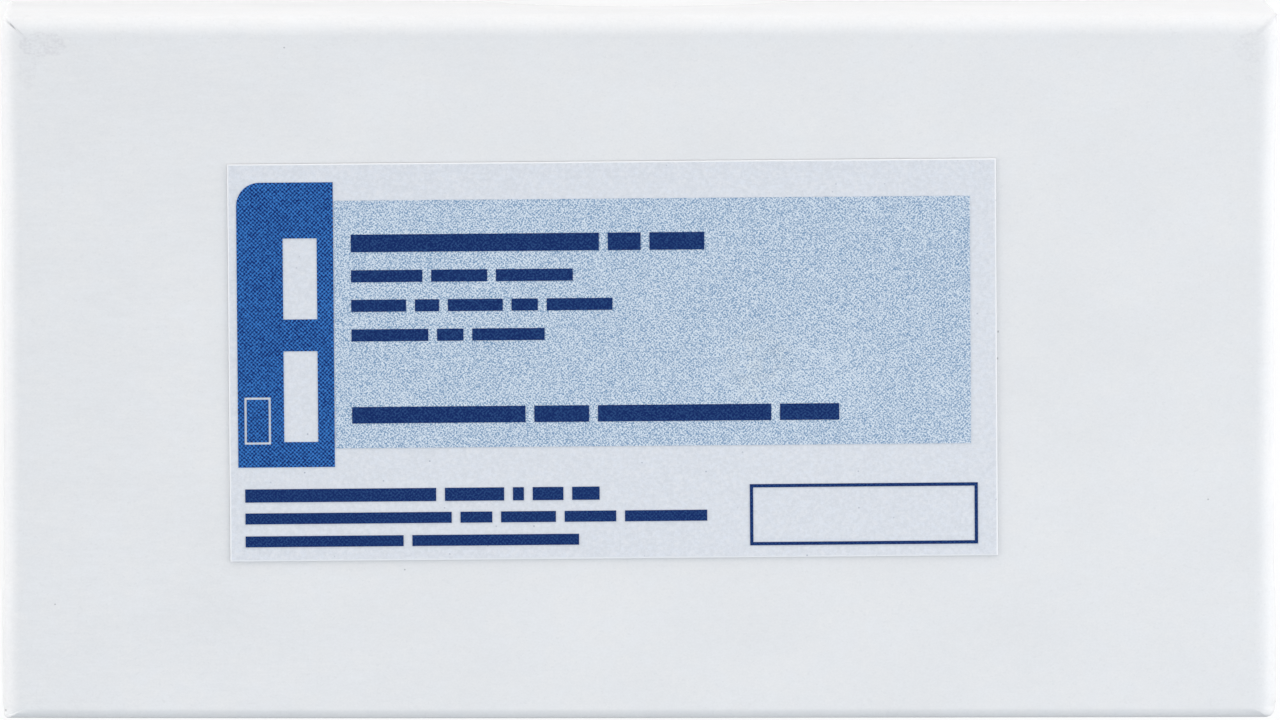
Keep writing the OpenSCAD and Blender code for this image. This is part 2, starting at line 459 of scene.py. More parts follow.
@dataclass(frozen=True)
class WrapPaper:
    """Smooth white paper glued over board: mottled, a little streaked along the box.

    Attributes:
        name: the material's name.
        light, cool, dark: colours of the paper.
        dirt_and_shade, speck: colour of the dirt and of the painted shade in creases and round the
            label, and colour of the specks.
        half: half of the lid's length and width.
        label: where a label is stuck on it.
        scuffs: its rubbed patches.
        mitres: the lines of painted shade along the creases at its corners.
        nicks: where it is nicked.
    """

    name: str = "white_wrap_paper"
    light: Colour = (0.819, 0.815, 0.817)
    cool: Colour = (0.811, 0.815, 0.827)
    dark: Colour = (0.755, 0.757, 0.766)
    dirt_and_shade: Colour = (0.42, 0.40, 0.44)
    speck: Colour = (0.40, 0.40, 0.42)
    half: tuple[float, float] = LID_HALF
    label: LabelSpot | None = None
    scuffs: tuple[Scuff, ...] = ()
    mitres: tuple[MitreShade, ...] = ()
    nicks: tuple[tuple[float, float], ...] = ()

    def material(self) -> bpy.types.Material:
        """Makes the finish.

        Returns:
            The finished material.
        """
        graph = Surface(self.name, {"Specular IOR Level": 0.32, "IOR": 1.48})
        x, _, z = graph.xyz
        streaks = graph.clouds((2.2, 0.40, 0.40), 3.0, 0.6)
        mottle = graph.clouds((0.62, 0.55, 0.60), 4.0, 0.68, (9.0, 3.0, 1.0))
        grain = graph.clouds((0.21, 0.19, 0.20), 1.0, 0.5, (5.0, 1.0, 2.0))
        pits = graph.clouds((0.36, 0.30, 0.34), 1.0, 0.5, (3.0, 7.0, 2.0)).rise(0.64, 0.80)
        drifts = graph.clouds((11.0, 7.0, 9.0), 2.0, 0.5, (2.0, 5.0, 4.0))
        cast = graph.clouds((2.2, 1.8, 2.0), 1.0, 0.5, (1.0, 9.0, 4.0))
        streaky = (0.0 - x).rise(-5.0, 50.0) * 0.8 + 0.2
        tone = (streaks - 0.5) * streaky * 0.9 + (mottle - 0.5) * 1.05
        tone = tone + (grain - 0.5) * 1.0 + (drifts - 0.5) * 0.95 - pits * 0.6 + 0.52
        lit = graph.mix(cast.rise(0.34, 0.66), self.light, self.cool)
        colour = graph.mix(tone, self.dark, lit)
        wrinkles = self.wrinkles(graph)
        # Painted shade: the wrinkles' lines are darkened a little, as the shade in their creases;
        # their relief is in the bump below.
        marking = wrinkles * 0.07
        for scuff in self.scuffs:
            marking = marking + self.scuffed(graph, scuff)
        # Painted shade: a dark line along the crease of each corner mitre on the lid's top, where
        # the real crease is shaded.
        up = z.rise(22.6, 23.4)
        for mitre in self.mitres:
            marking = marking.most(self.folded(graph, mitre) * up)
        # Painted shadow: a thin dark line on the wrap just outside the label's edge, where the
        # label's edge shades the wrap.
        if self.label:
            away = self.label.outside(graph)
            rim = away.rise(0.14, 0.03) * z.rise(24.8, 25.0)
            marking = marking.most(rim * (mottle.rise(0.2, 0.6) * 0.10 + 0.07))
        # The scuffs are real dirt and wear; the wrinkle lines, the mitre lines and the line round
        # the label mixed in here are painted shade.
        colour = graph.mix(marking, colour, self.dirt_and_shade)
        colour = graph.mix(self.specks(graph, up), colour, self.speck)
        fibres = graph.clouds((0.34, 0.09, 0.12), 3.0, 0.6, (4.0, 4.0, 8.0))
        height = fibres * 0.0018 + mottle * 0.0035 + streaks * streaky * 0.004 + drifts * 0.02
        return graph.finished(colour, 0.54 + mottle * 0.16, height - wrinkles * 0.006)

    def specks(self, graph: Surface, up: Signal) -> Signal:
        """Scatters a few tiny dark fibres and dust specks, and lays the nicks.

        Args:
            graph: the wrap's material.
            up: 1 on the lid's top.

        Returns:
            How dark each point is.
        """
        x, y, _ = graph.xyz
        distance, chance = graph.cells((5.2, 4.4, 5.2))
        chosen = graph.axes(chance)[0].rise(0.62, 0.66)
        specks = distance.rise(0.022, 0.011) * chosen * 0.75
        for nick in self.nicks:
            away = abs(x - nick[0]).most(abs(y - nick[1]) * 0.8)
            specks = specks.most(away.rise(0.11, 0.03) * up * 0.8)
        return specks

    @staticmethod
    def scuffed(graph: Surface, scuff: Scuff) -> Signal:
        """Makes a rubbed patch with a ragged, darker outline.

        Args:
            graph: the wrap's material.
            scuff: the patch.

        Returns:
            How dark each point is.
        """
        ragged = graph.clouds((0.9, 0.7, 0.9), 2.0, 0.55, (scuff.middle[0], 2.0, 3.0))
        fine = graph.clouds((0.30, 0.24, 0.30), 1.0, 0.5, (7.0, scuff.middle[1], 3.0))
        torn = graph.clouds((1.1, 1.1, 1.1), 1.0, 0.5, (1.0, 4.0, scuff.middle[0]))
        off = scuff.away(graph) + (ragged - 0.5) * 1.3
        inside = off.rise(1.3, 0.9)
        outline = off.rise(1.5, 1.15) * off.rise(0.8, 1.15) * torn.rise(0.44, 0.56)
        patchy = torn.rise(0.64, 0.40) * 0.5 + 0.5
        return (inside * patchy * fine.rise(0.28, 0.74) + outline * 0.5) * scuff.strength

    def folded(self, graph: Surface, mitre: MitreShade) -> Signal:
        """Lays the painted shade along a mitre's crease.

        Args:
            graph: the wrap's material.
            mitre: the line of painted shade.

        Returns:
            How dark each point is.
        """
        x, y, _ = graph.xyz
        in_x = self.half[0] - x * mitre.corner[0]
        in_y = (self.half[1] - y * mitre.corner[1]) * (mitre.folds[0] / mitre.folds[1])
        low, high = mitre.span
        along = in_x.rise(low - 0.25, low) * in_x.rise(high + 0.5, high)
        return abs(in_x - in_y).rise(mitre.width, mitre.width * 0.3) * along * mitre.strength

    @staticmethod
    def wrinkles(graph: Surface) -> Signal:
        """Makes a fine net of wrinkles where the paper was drawn round the corners.

        Args:
            graph: the wrap's material.

        Returns:
            How strong the wrinkles are at each point.
        """
        x, y, _ = graph.xyz
        bent = graph.clouds((1.3,) * 3, output="Color")
        moved = graph.vector("MULTIPLY_ADD", bent, (1.6,) * 3, graph.here)
        line = graph.cells((1.1, 0.9, 1.0), "DISTANCE_TO_EDGE", moved)[0].rise(0.12, 0.01)
        broken = graph.clouds((1.5, 1.5, 1.5), 2.0, 0.6, (6.0, 1.0, 7.0)).rise(0.46, 0.60)
        east, west, top = x.rise(47.0, 55.0), x.rise(-50.0, -54.5), y.rise(22.0, 28.5)
        fold = ((abs(x) - 56.0).most(abs(y) - 29.9)).rise(-1.0, 0.0)
        patches = graph.clouds((7.0, 7.0, 7.0), 1.0, 0.5, (3.0, 8.0, 2.0)).rise(0.45, 0.65)
        where = (west * y.rise(25.5, 28.5) * 0.6).most(east * top * 0.6).most(fold * patches * 0.5)
        return line * broken * where.most(0.07)


@dataclass(frozen=True)
class Greyboard:
    """Grey recycled board, with short fibres in and on it."""

    name: str = "greyboard"
    light: Colour = (0.47, 0.44, 0.40)
    dark: Colour = (0.30, 0.285, 0.265)
    fleck: Colour = (0.66, 0.65, 0.62)
    fibre: tuple[float, float, float] = (0.9, 0.14, 0.3)

    def material(self) -> bpy.types.Material:
        """Makes the finish.

        Returns:
            The finished material.
        """
        graph = Surface(self.name, {"Specular IOR Level": 0.2, "IOR": 1.45})
        fibres = graph.clouds(self.fibre, 4.0, 0.68)
        pulp = graph.clouds((0.22, 0.22, 0.22), 3.0, 0.7, (1.0, 2.0, 3.0))
        clumps = graph.clouds((4.0, 3.0, 3.0), 2.0, 0.5, (7.0, 7.0, 1.0))
        colour = graph.mix((fibres + pulp + clumps - 1.0) * 1.1, self.dark, self.light)
        flecks = graph.clouds((0.7, 0.10, 0.25), 2.0, 0.5, (8.0, 3.0, 5.0)).rise(0.64, 0.74)
        colour = graph.mix(flecks * 0.6, colour, self.fleck)
        return graph.finished(colour, 0.82 + pulp * 0.12, fibres * 0.03 + pulp * 0.03)


@dataclass(frozen=True)
class CutBoard(Greyboard):
    """The die-cut edge of the board, where its layers and torn fibres show."""

    name: str = "greyboard_cut_edge"
    light: Colour = (0.52, 0.49, 0.44)
    dark: Colour = (0.25, 0.235, 0.215)
    fibre: tuple[float, float, float] = (1.4, 0.11, 1.4)


@dataclass(frozen=True)
class StayPaper:
    """Brown kraft paper tape with long fibres."""

    name: str = "kraft_stay_paper"
    light: Colour = (0.60, 0.46, 0.30)
    dark: Colour = (0.46, 0.34, 0.21)

    def material(self) -> bpy.types.Material:
        """Makes the finish.

        Returns:
            The finished material.
        """
        graph = Surface(self.name, {"Specular IOR Level": 0.35})
        fibres = graph.clouds((0.12, 0.12, 1.3), 4.0, 0.65)
        colour = graph.mix(fibres, self.dark, self.light)
        return graph.finished(colour, 0.55 + fibres * 0.2, fibres * 0.012)


@dataclass(frozen=True)
class LabelStock:
    """Coated white label paper with toner dust, and a painted highlight along its cut edge."""

    name: str = "label_stock"
    light: Colour = (0.760, 0.769, 0.801)
    cool: Colour = (0.740, 0.767, 0.823)
    dark: Colour = (0.660, 0.680, 0.722)
    rim: Colour = (0.855, 0.860, 0.880)
    dust: Colour = (0.20, 0.23, 0.32)
    spot: LabelSpot = LabelSpot()

    def material(self) -> bpy.types.Material:
        """Makes the finish.

        Returns:
            The finished material.
        """
        graph = Surface(self.name, {"Specular IOR Level": 0.4, "IOR": 1.5})
        mottle = graph.clouds((0.32, 0.30, 0.32), 4.0, 0.7)
        cast = graph.clouds((0.55, 0.45, 0.55), 3.0, 0.65, (2.0, 6.0, 4.0))
        lit = graph.mix(cast.rise(0.32, 0.68), self.light, self.cool)
        colour = graph.mix((mottle - 0.5) * 3.6 + 0.5, self.dark, lit)
        # Painted highlight: the label's cut edge is made paler, as the light it catches.
        edge = self.spot.outside(graph).rise(-0.15, -0.09)
        colour = graph.mix(edge * 0.9, colour, self.rim)
        colour = graph.mix(self.toner(graph), colour, self.dust)
        return graph.finished(colour, 0.42 + mottle * 0.15, mottle * 0.004)

    @staticmethod
    def toner(graph: Surface) -> Signal:
        """Scatters fine dark dust over the label, in drifts.

        Args:
            graph: the stock's material.

        Returns:
            How dark each point is.
        """
        distance, chance = graph.cells((0.95, 0.85, 0.95))
        near, chosen = distance.rise(0.115, 0.055), graph.axes(chance)[1].rise(0.66, 0.72)
        patches = graph.clouds((7.0, 3.0, 7.0), 2.0, 0.5, (1.0, 9.0, 1.0))
        return near * chosen * patches.rise(0.40, 0.62) * 0.55


@dataclass(frozen=True)
class ScreenedPrint:
    """Ink laid down in fine dots, so that the stock shows between them.

    Attributes:
        name: the material's name.
        ink, paper: colour of the ink and of what shows between the dots.
        cover: how much of the paper is inked.
        grain: size of the random dots.
        contrast: strength of the random dots.
        pitch: spacing of the regular dots.
        lattice: strength of the regular dots.
        gloss: roughness of the ink.
        rubbed: a patch where the print is rubbed paler.
        stain, brown: a faint stain, and its colour.
    """

    name: str
    ink: Colour
    paper: Colour
    cover: float
    grain: float
    contrast: float
    pitch: float
    lattice: float
    gloss: float
    rubbed: Scuff | None = None
    stain: Scuff | None = None
    brown: Colour = (0.36, 0.25, 0.07)

    SLANT = 0.03

    def material(self) -> bpy.types.Material:
        """Makes the finish.

        Returns:
            The finished material.
        """
        graph = Surface(self.name, {"Specular IOR Level": 0.1, "IOR": 1.5})
        x, y, _ = graph.xyz
        dots = graph.clouds((self.grain,) * 3, 0.0, 0.5)
        fine = graph.clouds((self.grain * 0.5,) * 3, 0.0, 0.5, (5.0, 2.0, 0.0))
        drift = graph.clouds((5.0, 4.0, 5.0), 3.0, 0.55, (2.0, 2.0, 6.0))
        wave = 2 * math.pi / self.pitch
        slant = self.SLANT * wave
        regular = (x * wave + y * slant).sine() * (y * wave - x * slant).sine()
        screen = (dots * 0.55 + fine * 0.45 - 0.5) * self.contrast * 2.0 + regular * self.lattice
        cover = screen + self.cover + (drift - 0.5) * 0.22
        if self.rubbed:
            ragged = graph.clouds((1.8, 1.4, 1.8), 4.0, 0.6, (3.0, 1.0, 4.0))
            marking = self.rubbed.away(graph).rise(1.3, 0.1) * ragged.rise(0.32, 0.72)
            cover = cover - marking * self.rubbed.strength
        colour = graph.mix(cover, self.paper, self.ink)
        if self.stain:
            ragged = graph.clouds((1.1, 1.1, 1.1), 3.0, 0.6, (8.0, 1.0, 2.0))
            blot = self.stain.away(graph).rise(1.8, 0.0) * ragged.rise(0.36, 0.64)
            colour = graph.mix(blot * self.stain.strength, colour, self.brown)
        return graph.finished(colour, self.gloss + dots * 0.12, dots * 0.003)


@dataclass(frozen=True)
class CellFoam:
    """Fine-celled dark polyethylene foam."""

    name: str = "cell_foam"
    light: Colour = (0.090, 0.097, 0.106)
    dark: Colour = (0.030, 0.033, 0.037)

    def material(self) -> bpy.types.Material:
        """Makes the finish.

        Returns:
            The finished material.
        """
        graph = Surface(
            self.name, {"Specular IOR Level": 0.35, "Sheen Weight": 0.25, "Sheen Roughness": 0.6}
        )
        walls, small = (graph.cells((size,) * 3)[0] for size in (0.40, 0.17))
        drift = graph.clouds((6.0, 6.0, 3.0), 2.0, 0.5)
        tone = walls * 0.75 + small * 0.35 + (drift - 0.5) * 0.6
        colour = graph.mix(tone, self.dark, self.light)
        return graph.finished(colour, 0.62 + walls * 0.25, walls * 0.055 + small * 0.025)


class QuartzFace(Enum):
    """How a side of the cuvette is finished: its roughness, and its grain in millimetres."""

    POLISHED = (0.015, 0.0001)
    FROSTED = (0.46, 0.004)

    def __init__(self, rough: float, bite: float) -> None:
        """Names the two numbers."""
        self.rough, self.bite = rough, bite


@dataclass(frozen=True)
class Quartz:
    """Clear fused quartz, polished or frosted."""

    face: QuartzFace
    tint: Colour = (0.965, 0.985, 0.99)

    def material(self) -> bpy.types.Material:
        """Makes the finish.

        Returns:
            The finished material.
        """
        name = f"quartz_{self.face.name.lower()}"
        graph = Surface(name, {"Transmission Weight": 1.0, "IOR": 1.458})
        grain = graph.clouds((0.08,) * 3, 2.0, 0.6)
        smear = graph.clouds((9.0, 5.0, 5.0), 3.0, 0.6, (1.0, 4.0, 2.0))
        return graph.finished(self.tint, smear * 0.02 + self.face.rough, grain * self.face.bite)


@dataclass(frozen=True)
class CapPlastic:
    """Waxy white fluoropolymer with faint turning marks."""

    name: str = "waxy_cap"
    light: Colour = (0.86, 0.86, 0.84)
    dark: Colour = (0.78, 0.78, 0.76)

    def material(self) -> bpy.types.Material:
        """Makes the finish.

        Returns:
            The finished material.
        """
        graph = Surface(
            self.name,
            {"Specular IOR Level": 0.45, "IOR": 1.38, "Subsurface Weight": 0.25,
             "Subsurface Radius": (1.0, 0.9, 0.8), "Subsurface Scale": 1.2 * MM},
        )
        haze = graph.clouds((1.6,) * 3, 3.0, 0.6)
        marks = graph.clouds((0.06, 3.0, 3.0), 2.0, 0.5, (3.0, 3.0, 0.0))
        colour = graph.mix(haze, self.dark, self.light)
        return graph.finished(colour, 0.34 + haze * 0.18, marks * 0.004 + haze * 0.01)


# ---------------------------------------------------------------- meshes


def smooth(values: Array | float, low: float, high: float) -> Array | float:
    """Returns a smooth step from 0 at low to 1 at high; low may be the larger."""
    t = np.clip((np.asarray(values, float) - low) / (high - low), 0.0, 1.0)
    return t * t * (3 - 2 * t)


def waves(a: Array, b: Array, seed: float) -> Array:
    """Returns smooth noise from -1 to 1 at pairs of numbers.

    Args:
        a: first numbers, one noise cell to each 1.0.
        b: second numbers.
        seed: tells one noise from another.

    Returns:
        The noise at each pair.
    """
    a, b = np.broadcast_arrays(np.asarray(a, float), np.asarray(b, float))
    flat = [noise.noise(Vector((p, q, seed))) for p, q in zip(a.ravel(), b.ravel())]
    return np.array(flat).reshape(a.shape)


def rounding(radius: float) -> list[tuple[float, float]]:
    """Returns a quarter round's points: how far in and how far down each lies."""
    turns = np.linspace(0, math.pi / 2, 5)
    return [(radius * (1 - math.sin(t)), radius * (1 - math.cos(t))) for t in turns]


def linked(name: str, data: Any) -> bpy.types.Object:
    """Makes an object in the scene.

    Args:
        name: its name.
        data: its mesh, lamp or camera.

    Returns:
        The object.
    """
    made = bpy.data.objects.new(name, data)
    bpy.context.scene.collection.objects.link(made)
    return made


class Draft:
    """Vertices and faces of a piece while it is made."""

    def __init__(self) -> None:
        """Starts empty."""
        self.points: list[Array] = []
        self.count = 0
        self.faces: list[tuple[int, ...]] = []
        self.slots: list[int] = []

    def add(self, points: Array) -> Array:
        """Adds vertices.

        Args:
            points: rows of x, y and z in millimetres.

        Returns:
            Their numbers.
        """
        points = np.asarray(points, float).reshape(-1, 3)
        numbers = np.arange(self.count, self.count + len(points))
        self.points.append(points)
        self.count += len(points)
        return numbers

    def face(self, corners: Sequence[int], slot: int = 0) -> None:
        """Adds a face, without the corners that repeat.

        Args:
            corners: its vertices' numbers, in order.
            slot: its material slot.
        """
        kept = [int(c) for k, c in enumerate(corners) if c != corners[k - 1]]
        if len(set(kept)) == len(kept) >= 3:
            self.faces.append(tuple(kept))
            self.slots.append(slot)

    def bridge(self, ring: Array, other: Array, slot: int = 0, closed: bool = True,
               skip: Array | None = None) -> None:
        """Joins two rows of vertices by quads.

        Args:
            ring: the first row.
            other: the second row, as long.
            slot: the faces' material slot.
            closed: joins the rows' ends too.
            skip: true for each quad that is left out.
        """
        n = len(ring)
        for k in range(n if closed else n - 1):
            if skip is None or not skip[k]:
                m = (k + 1) % n
                self.face((ring[k], ring[m], other[m], other[k]), slot)

    def loft(self, rings: Sequence[Array], slot: int = 0, closed: bool = True) -> None:
        """Joins each row of vertices to the next.

        Args:
            rings: the rows, in order.
            slot: the faces' material slot.
            closed: joins the rows' ends too.
        """
        for ring, other in zip(rings, rings[1:]):
            self.bridge(ring, other, slot, closed)

    def piece(self, name: str, materials: Sequence[bpy.types.Material], sharp: float = 38.0,
              smooth_shaded: bool = True) -> bpy.types.Object:
        """Makes the Blender object.

        Args:
            name: the piece's name.
            materials: its material slots, in order.
            sharp: edges that turn by more than this many degrees stay sharp.
            smooth_shaded: false for a piece with flat facets.

        Returns:
            The object.
        """
        mesh = bpy.data.meshes.new(name)
        mesh.from_pydata((np.concatenate(self.points) * MM).tolist(), [], self.faces)
        for material in materials:
            mesh.materials.append(material)
        mesh.polygons.foreach_set("material_index", self.slots)
        made = bmesh.new()
        made.from_mesh(mesh)
        bmesh.ops.recalc_face_normals(made, faces=made.faces)
        for edge in made.edges:
            if edge.is_boundary:
                log.warning("%s: open edge at %s", name, edge.verts[0].co)
                break
        made.to_mesh(mesh)
        made.free()
        if smooth_shaded:
            mesh.shade_smooth()
            mesh.set_sharp_from_angle(angle=math.radians(sharp))
        log.info("%s: %d faces", name, len(mesh.polygons))
        return linked(name, mesh)


@dataclass(frozen=True)
class Bow:
    """How the folded walls draw in between the box's corners, the same at every height.

    Attributes:
        half_x, half_y: half of the lid's length and width.
        right, left, front, back: how far each wall is drawn in at most.
        hold: how far in from the walls all is moved as far as they are.
        fade: over how much more the movement fades out.
    """

    half_x: float = LID_HALF[0]
    half_y: float = LID_HALF[1]
    right: float = 0.20
    left: float = 0.04
    front: float = 0.12
    back: float = 0.04
    hold: float = 7.0
    fade: float = 17.0

    def apply(self, points: Array) -> Array:
        """Moves points the way the walls near them have moved.

        Args:
            points: rows of x, y and z.

        Returns:
            The moved rows.
        """
        x, y = points[:, 0], points[:, 1]
        upper, lower = self.half_y - y, self.half_y + y
        right = self.right * smooth(upper, 0.4, 9.0) * (0.2 + 0.8 * smooth(lower, 1.0, 24.0))
        left = self.left * (0.28 + 0.72 * smooth(upper, 1.0, 30.0)) * smooth(lower, 0.5, 26.0)
        middle = np.clip(1 - (x / self.half_x) ** 2, 0, 1)
        near_x = smooth(np.abs(x), self.half_x - self.hold - self.fade, self.half_x - self.hold)
        near_y = smooth(np.abs(y), self.half_y - self.hold - self.fade, self.half_y - self.hold)
        moved = points.copy()
        moved[:, 0] -= near_x * np.where(x > 0, right, -left)
        towards_left = np.clip(-x / self.half_x, 0, 1) ** 2
        moved[:, 1] -= near_y * np.where(y > 0, self.back * middle, -self.front * towards_left)
        return moved

    def add(self, draft: Draft, at: Array, height: Array | float) -> Array:
        """Adds vertices to a piece, moved as the walls near them are.

        Args:
            draft: the piece being made.
            at: rows of x and y.
            height: the rows' z, for each or for all.

        Returns:
            The vertices' numbers.
        """
        height = np.broadcast_to(height, len(at))
        return draft.add(self.apply(np.column_stack([at, height])))


class Way(Enum):
    """Which way a tray opens."""

    DOWN = -1
    UP = 1


@dataclass(frozen=True)
class CornerFold:
    """How the wrap lies at one corner of the panel.

    Attributes:
        groove: depth of the crease along the mitre.
        width: the crease's width, as a share of the corner's turn.
        pinch: how far the paper is drawn in beside the crease.
        round: the corner's radius, as a share of the tray's.
    """

    groove: float = 0.06
    width: float = 0.10
    pinch: float = 0.02
    round: float = 1.0


FRONT, RIGHT, BACK, LEFT = range(4)
OUTWARD = np.array([[0, -1], [1, 0], [0, 1], [-1, 0]], float)


@dataclass
class Tray:
    """A folded board tray with its paper wrap, drawn as rings round its outline.

    Attributes:
        half_x, half_y: half of the outer length and width.
        face_z: height of the panel's outer face.
        depth: from the panel's outer face to the rim.
        way: which way it opens.
        bow: how its walls draw in.
        fold_w: width of the rounded folds on the panel, by side.
        fold_d: depth of the rounded folds, by side.
        wall_t, panel_t: thickness of the walls and of the panel.
        paper_t: thickness of the wrap.
        cover_t: thickness of the wrap and its glue at the rim and the stays.
        board_lift: how far inside the wrap's face the board lies.
        turn_in: how far the wrap is turned in behind the rim.
        hem_r: radius of the wrap round the rim.
        upright_r, mitre_r: radius of the upright edges and of the panel's corners.
        notch: half width, depth and radius of the thumb notches, or None.
        seed: tells one tray's unevenness from another's.
        unrest: how uneven the wrap is.
        corners: the folds at the panel's corners.
        side: for each place round the outline its side, or 4 more on the corner after it.
        along: how far along the side, from -1 to 1, or round the corner, from 0 to 1.
        fold: depth of the rounded fold at each place.
    """

    half_x: float
    half_y: float
    face_z: float
    depth: float
    way: Way
    bow: Bow
    fold_w: tuple[float, float, float, float] = (0.95, 2.1, 1.8, 2.0)
    fold_d: tuple[float, float, float, float] = (0.9, 1.6, 1.6, 1.6)
    wall_t: float = 1.74
    panel_t: float = 1.57
    paper_t: float = 0.12
    cover_t: float = 0.17
    board_lift: float = 0.30
    turn_in: float = 12.0
    hem_r: float = 0.42
    upright_r: float = 1.0
    mitre_r: float = 0.3
    notch: tuple[float, float, float] | None = None
    seed: float = 1.0
    unrest: float = 1.0
    corners: tuple[CornerFold, ...] = (CornerFold(),) * 4
    side: Array = field(init=False)
    along: Array = field(init=False)
    fold: Array = field(init=False)

    # How many steps each stretch of the section and each corner is drawn in.
    ARC_STEPS, FOLD_STEPS, WALL_STEPS, HEM_STEPS, TURN_STEPS = 13, 9, 16, 4, 6
    # The least gap between rings, the least corner radius and the radius of inner corners.
    CLEAR, LEAST_R, INNER_R = 0.001, 0.12, 0.3
    # How far the wrap sinks in, ripples at the folds and swells on the walls and the panel.
    SAG, RIPPLE, WALL_SWELL, PANEL_SWELL = 0.035, 0.045, 0.05, 0.012
    # How thick the flap's strip and the tabs under it lie, and where a tab ends and leans to.
    LAP_T, TAB_T, TAB_END, TAB_SLANT = 0.10, 0.085, 12.2, 0.11

    def __post_init__(self) -> None:
        """Lays out the places round the outline: four sides, each followed by a corner."""
        long = self._long_places()
        short = self._short_places()
        arc = np.arange(1, self.ARC_STEPS) / self.ARC_STEPS
        sides, along = [], []
        for index, places in enumerate((long, short, long[::-1], short[::-1])):
            sides += [np.full(len(places), index), np.full(len(arc), index + 4)]
            along += [places, arc]
        self.side = np.concatenate(sides)
        self.along = np.concatenate(along)
        self.rim = self._rim_depth()
        self.in_notch = self.rim < self.depth - 0.004
        after = self.along * (self.side > 3)
        deep = np.array(self.fold_d)
        self.fold = deep[self.side % 4] * (1 - after) + deep[(self.side + 1) % 4] * after

    def _long_places(self) -> Array:
        """Spaces the places along a long side, closer together round a notch.

        Returns:
            The places, from -1 to 1.
        """
        reach = self.half_x - self.upright_r
        if self.notch is None:
            return np.linspace(-1, 1, 79)
        half, _, radius = self.notch
        turn = math.asin(half / radius)
        arc = radius * np.sin(np.linspace(-turn, turn, 41))
        beside = half + np.array([0.25, 0.7, 1.4])
        outer = np.concatenate([beside, np.linspace(half + 2.6, reach, 28)])
        return np.concatenate([-outer[::-1], arc, outer]) / reach

    def _short_places(self) -> Array:
        """Spaces the places along a short side, closer together at the flap's steps.

        Returns:
            The places, from -1 to 1.
        """
        reach = self.half_y - self.upright_r
        near = np.array([0, 0.22, 0.34, 0.8, 1.8, 3.2, 4.8, 6.4, *np.arange(7.6, 12.6, 0.45)])
        inner = np.linspace(12.9, 2 * reach - 12.9, 22)
        return np.concatenate([near, inner, 2 * reach - near[::-1]]) / reach - 1

    def _rim_depth(self) -> Array:
        """Works out how deep the rim lies at each place, less at a notch.

        Returns:
            The depth at each place.
        """
        rim = np.full(len(self.side), self.depth)
        if self.notch:
            half, deep, radius = self.notch
            x = self.along * (self.half_x - self.upright_r)
            arc = np.sqrt(np.clip(radius**2 - x**2, 0, None)) - (radius - deep)
            cut = np.isin(self.side, (FRONT, BACK)) & (np.abs(x) < half + 0.01)
            rim = np.where(cut, self.depth - np.clip(arc, 0, None), rim)
        return rim

    @property
    def notched(self) -> Array:
        """True for each quad between a place and the next that lies in a notch."""
        return self.in_notch | np.roll(self.in_notch, -1)

    def plan(self, insets: Sequence[float], radius: float,
             even: bool = False) -> tuple[Array, Array]:
        """Returns the outline's points and outward directions at some insets.

        Args:
            insets: how far inside the outline, for the front, right, back and left.
            radius: the corners' radius.
            even: whether all four corners have just that radius.

        Returns:
            Rows of x and y, and rows of unit directions.
        """
        front, right, back, left = insets
        low = np.array([-self.half_x + left, -self.half_y + front])
        high = np.array([self.half_x - right, self.half_y - back])
        at = np.zeros((len(self.side), 2))
        out = np.zeros_like(at)
        radii = [radius * (1.0 if even else fold.round) for fold in self.corners]
        for index in range(4):
            here = self.side == index
            axis = index % 2
            span = (self.along[here] + 1) / 2
            ends = (radii[index - 1], radii[index])[:: 1 if index in (FRONT, RIGHT) else -1]
            at[here, axis] = low[axis] + ends[0] + span * (high[axis] - low[axis] - sum(ends))
            at[here, 1 - axis] = (low if index in (FRONT, LEFT) else high)[1 - axis]
            out[here] = OUTWARD[index]
            turn = self.side == index + 4
            angle = (self.along[turn] + index - 1) * math.pi / 2
            arc = np.stack([np.cos(angle), np.sin(angle)], 1)
            sign = np.sign(OUTWARD[index] + OUTWARD[(index + 1) % 4])
            middle = np.where(sign > 0, high, low) - sign * radii[index]
            at[turn] = middle + radii[index] * arc
            out[turn] = arc
        return at, out

    def relief(self, at: Array, depth: Array, angle: float) -> Array:
        """Returns how far the wrap stands out, from its folds, laps and the board under it.

        Args:
            at: rows of x and y.
            depth: depth below the panel at each place.
            angle: 0 on the panel and 90 on the walls, in degrees.

        Returns:
            Millimetres outward, below zero throughout.
        """
        wall = math.sin(math.radians(angle)) ** 2
        fold = math.sin(math.radians(2 * angle)) ** 2
        x, y = at[:, 0], at[:, 1]
        run = np.where(np.isin(self.side, (FRONT, BACK)), x, y) + 7 * self.side
        out = np.full(len(x), -self.SAG)
        out += fold * self.RIPPLE * self.unrest * (waves(run / 9.0, self.side, self.seed) - 0.5)
        ramp = smooth(depth, 1.6, 9.0)
        swell = waves(run / 21.0, depth / 14.0, self.seed + 4)
        out -= wall * ramp * self.WALL_SWELL * self.unrest * (0.5 + swell)
        out += wall * self._laps(y, depth)
        out += fold * self._creases()
        return out

    def _laps(self, y: Array, depth: Array) -> Array:
        """Makes the steps of the short walls' flaps, over the tabs folded round the corners.

        Args:
            y: each place's y.
            depth: depth below the panel at each place.

        Returns:
            Millimetres outward, zero or less.
        """
        from_end = self.half_y - np.abs(y)
        strip = smooth(from_end, self.upright_r + 0.34, self.upright_r + 0.22)
        tab_end = self.TAB_END - self.TAB_SLANT * depth
        past_tab = smooth(from_end - tab_end, -0.55, 0.55)
        short = np.isin(self.side, (RIGHT, LEFT))
        steps = np.where(short, -self.LAP_T * strip - self.TAB_T * past_tab, 0.0)
        for corner, towards_short in enumerate((True, False, True, False)):
            share = self.along if towards_short else 1 - self.along
            lap = -self.LAP_T * smooth(share, 0.35, 1.0)
            steps = np.where(self.side == corner + 4, lap, steps)
        return steps

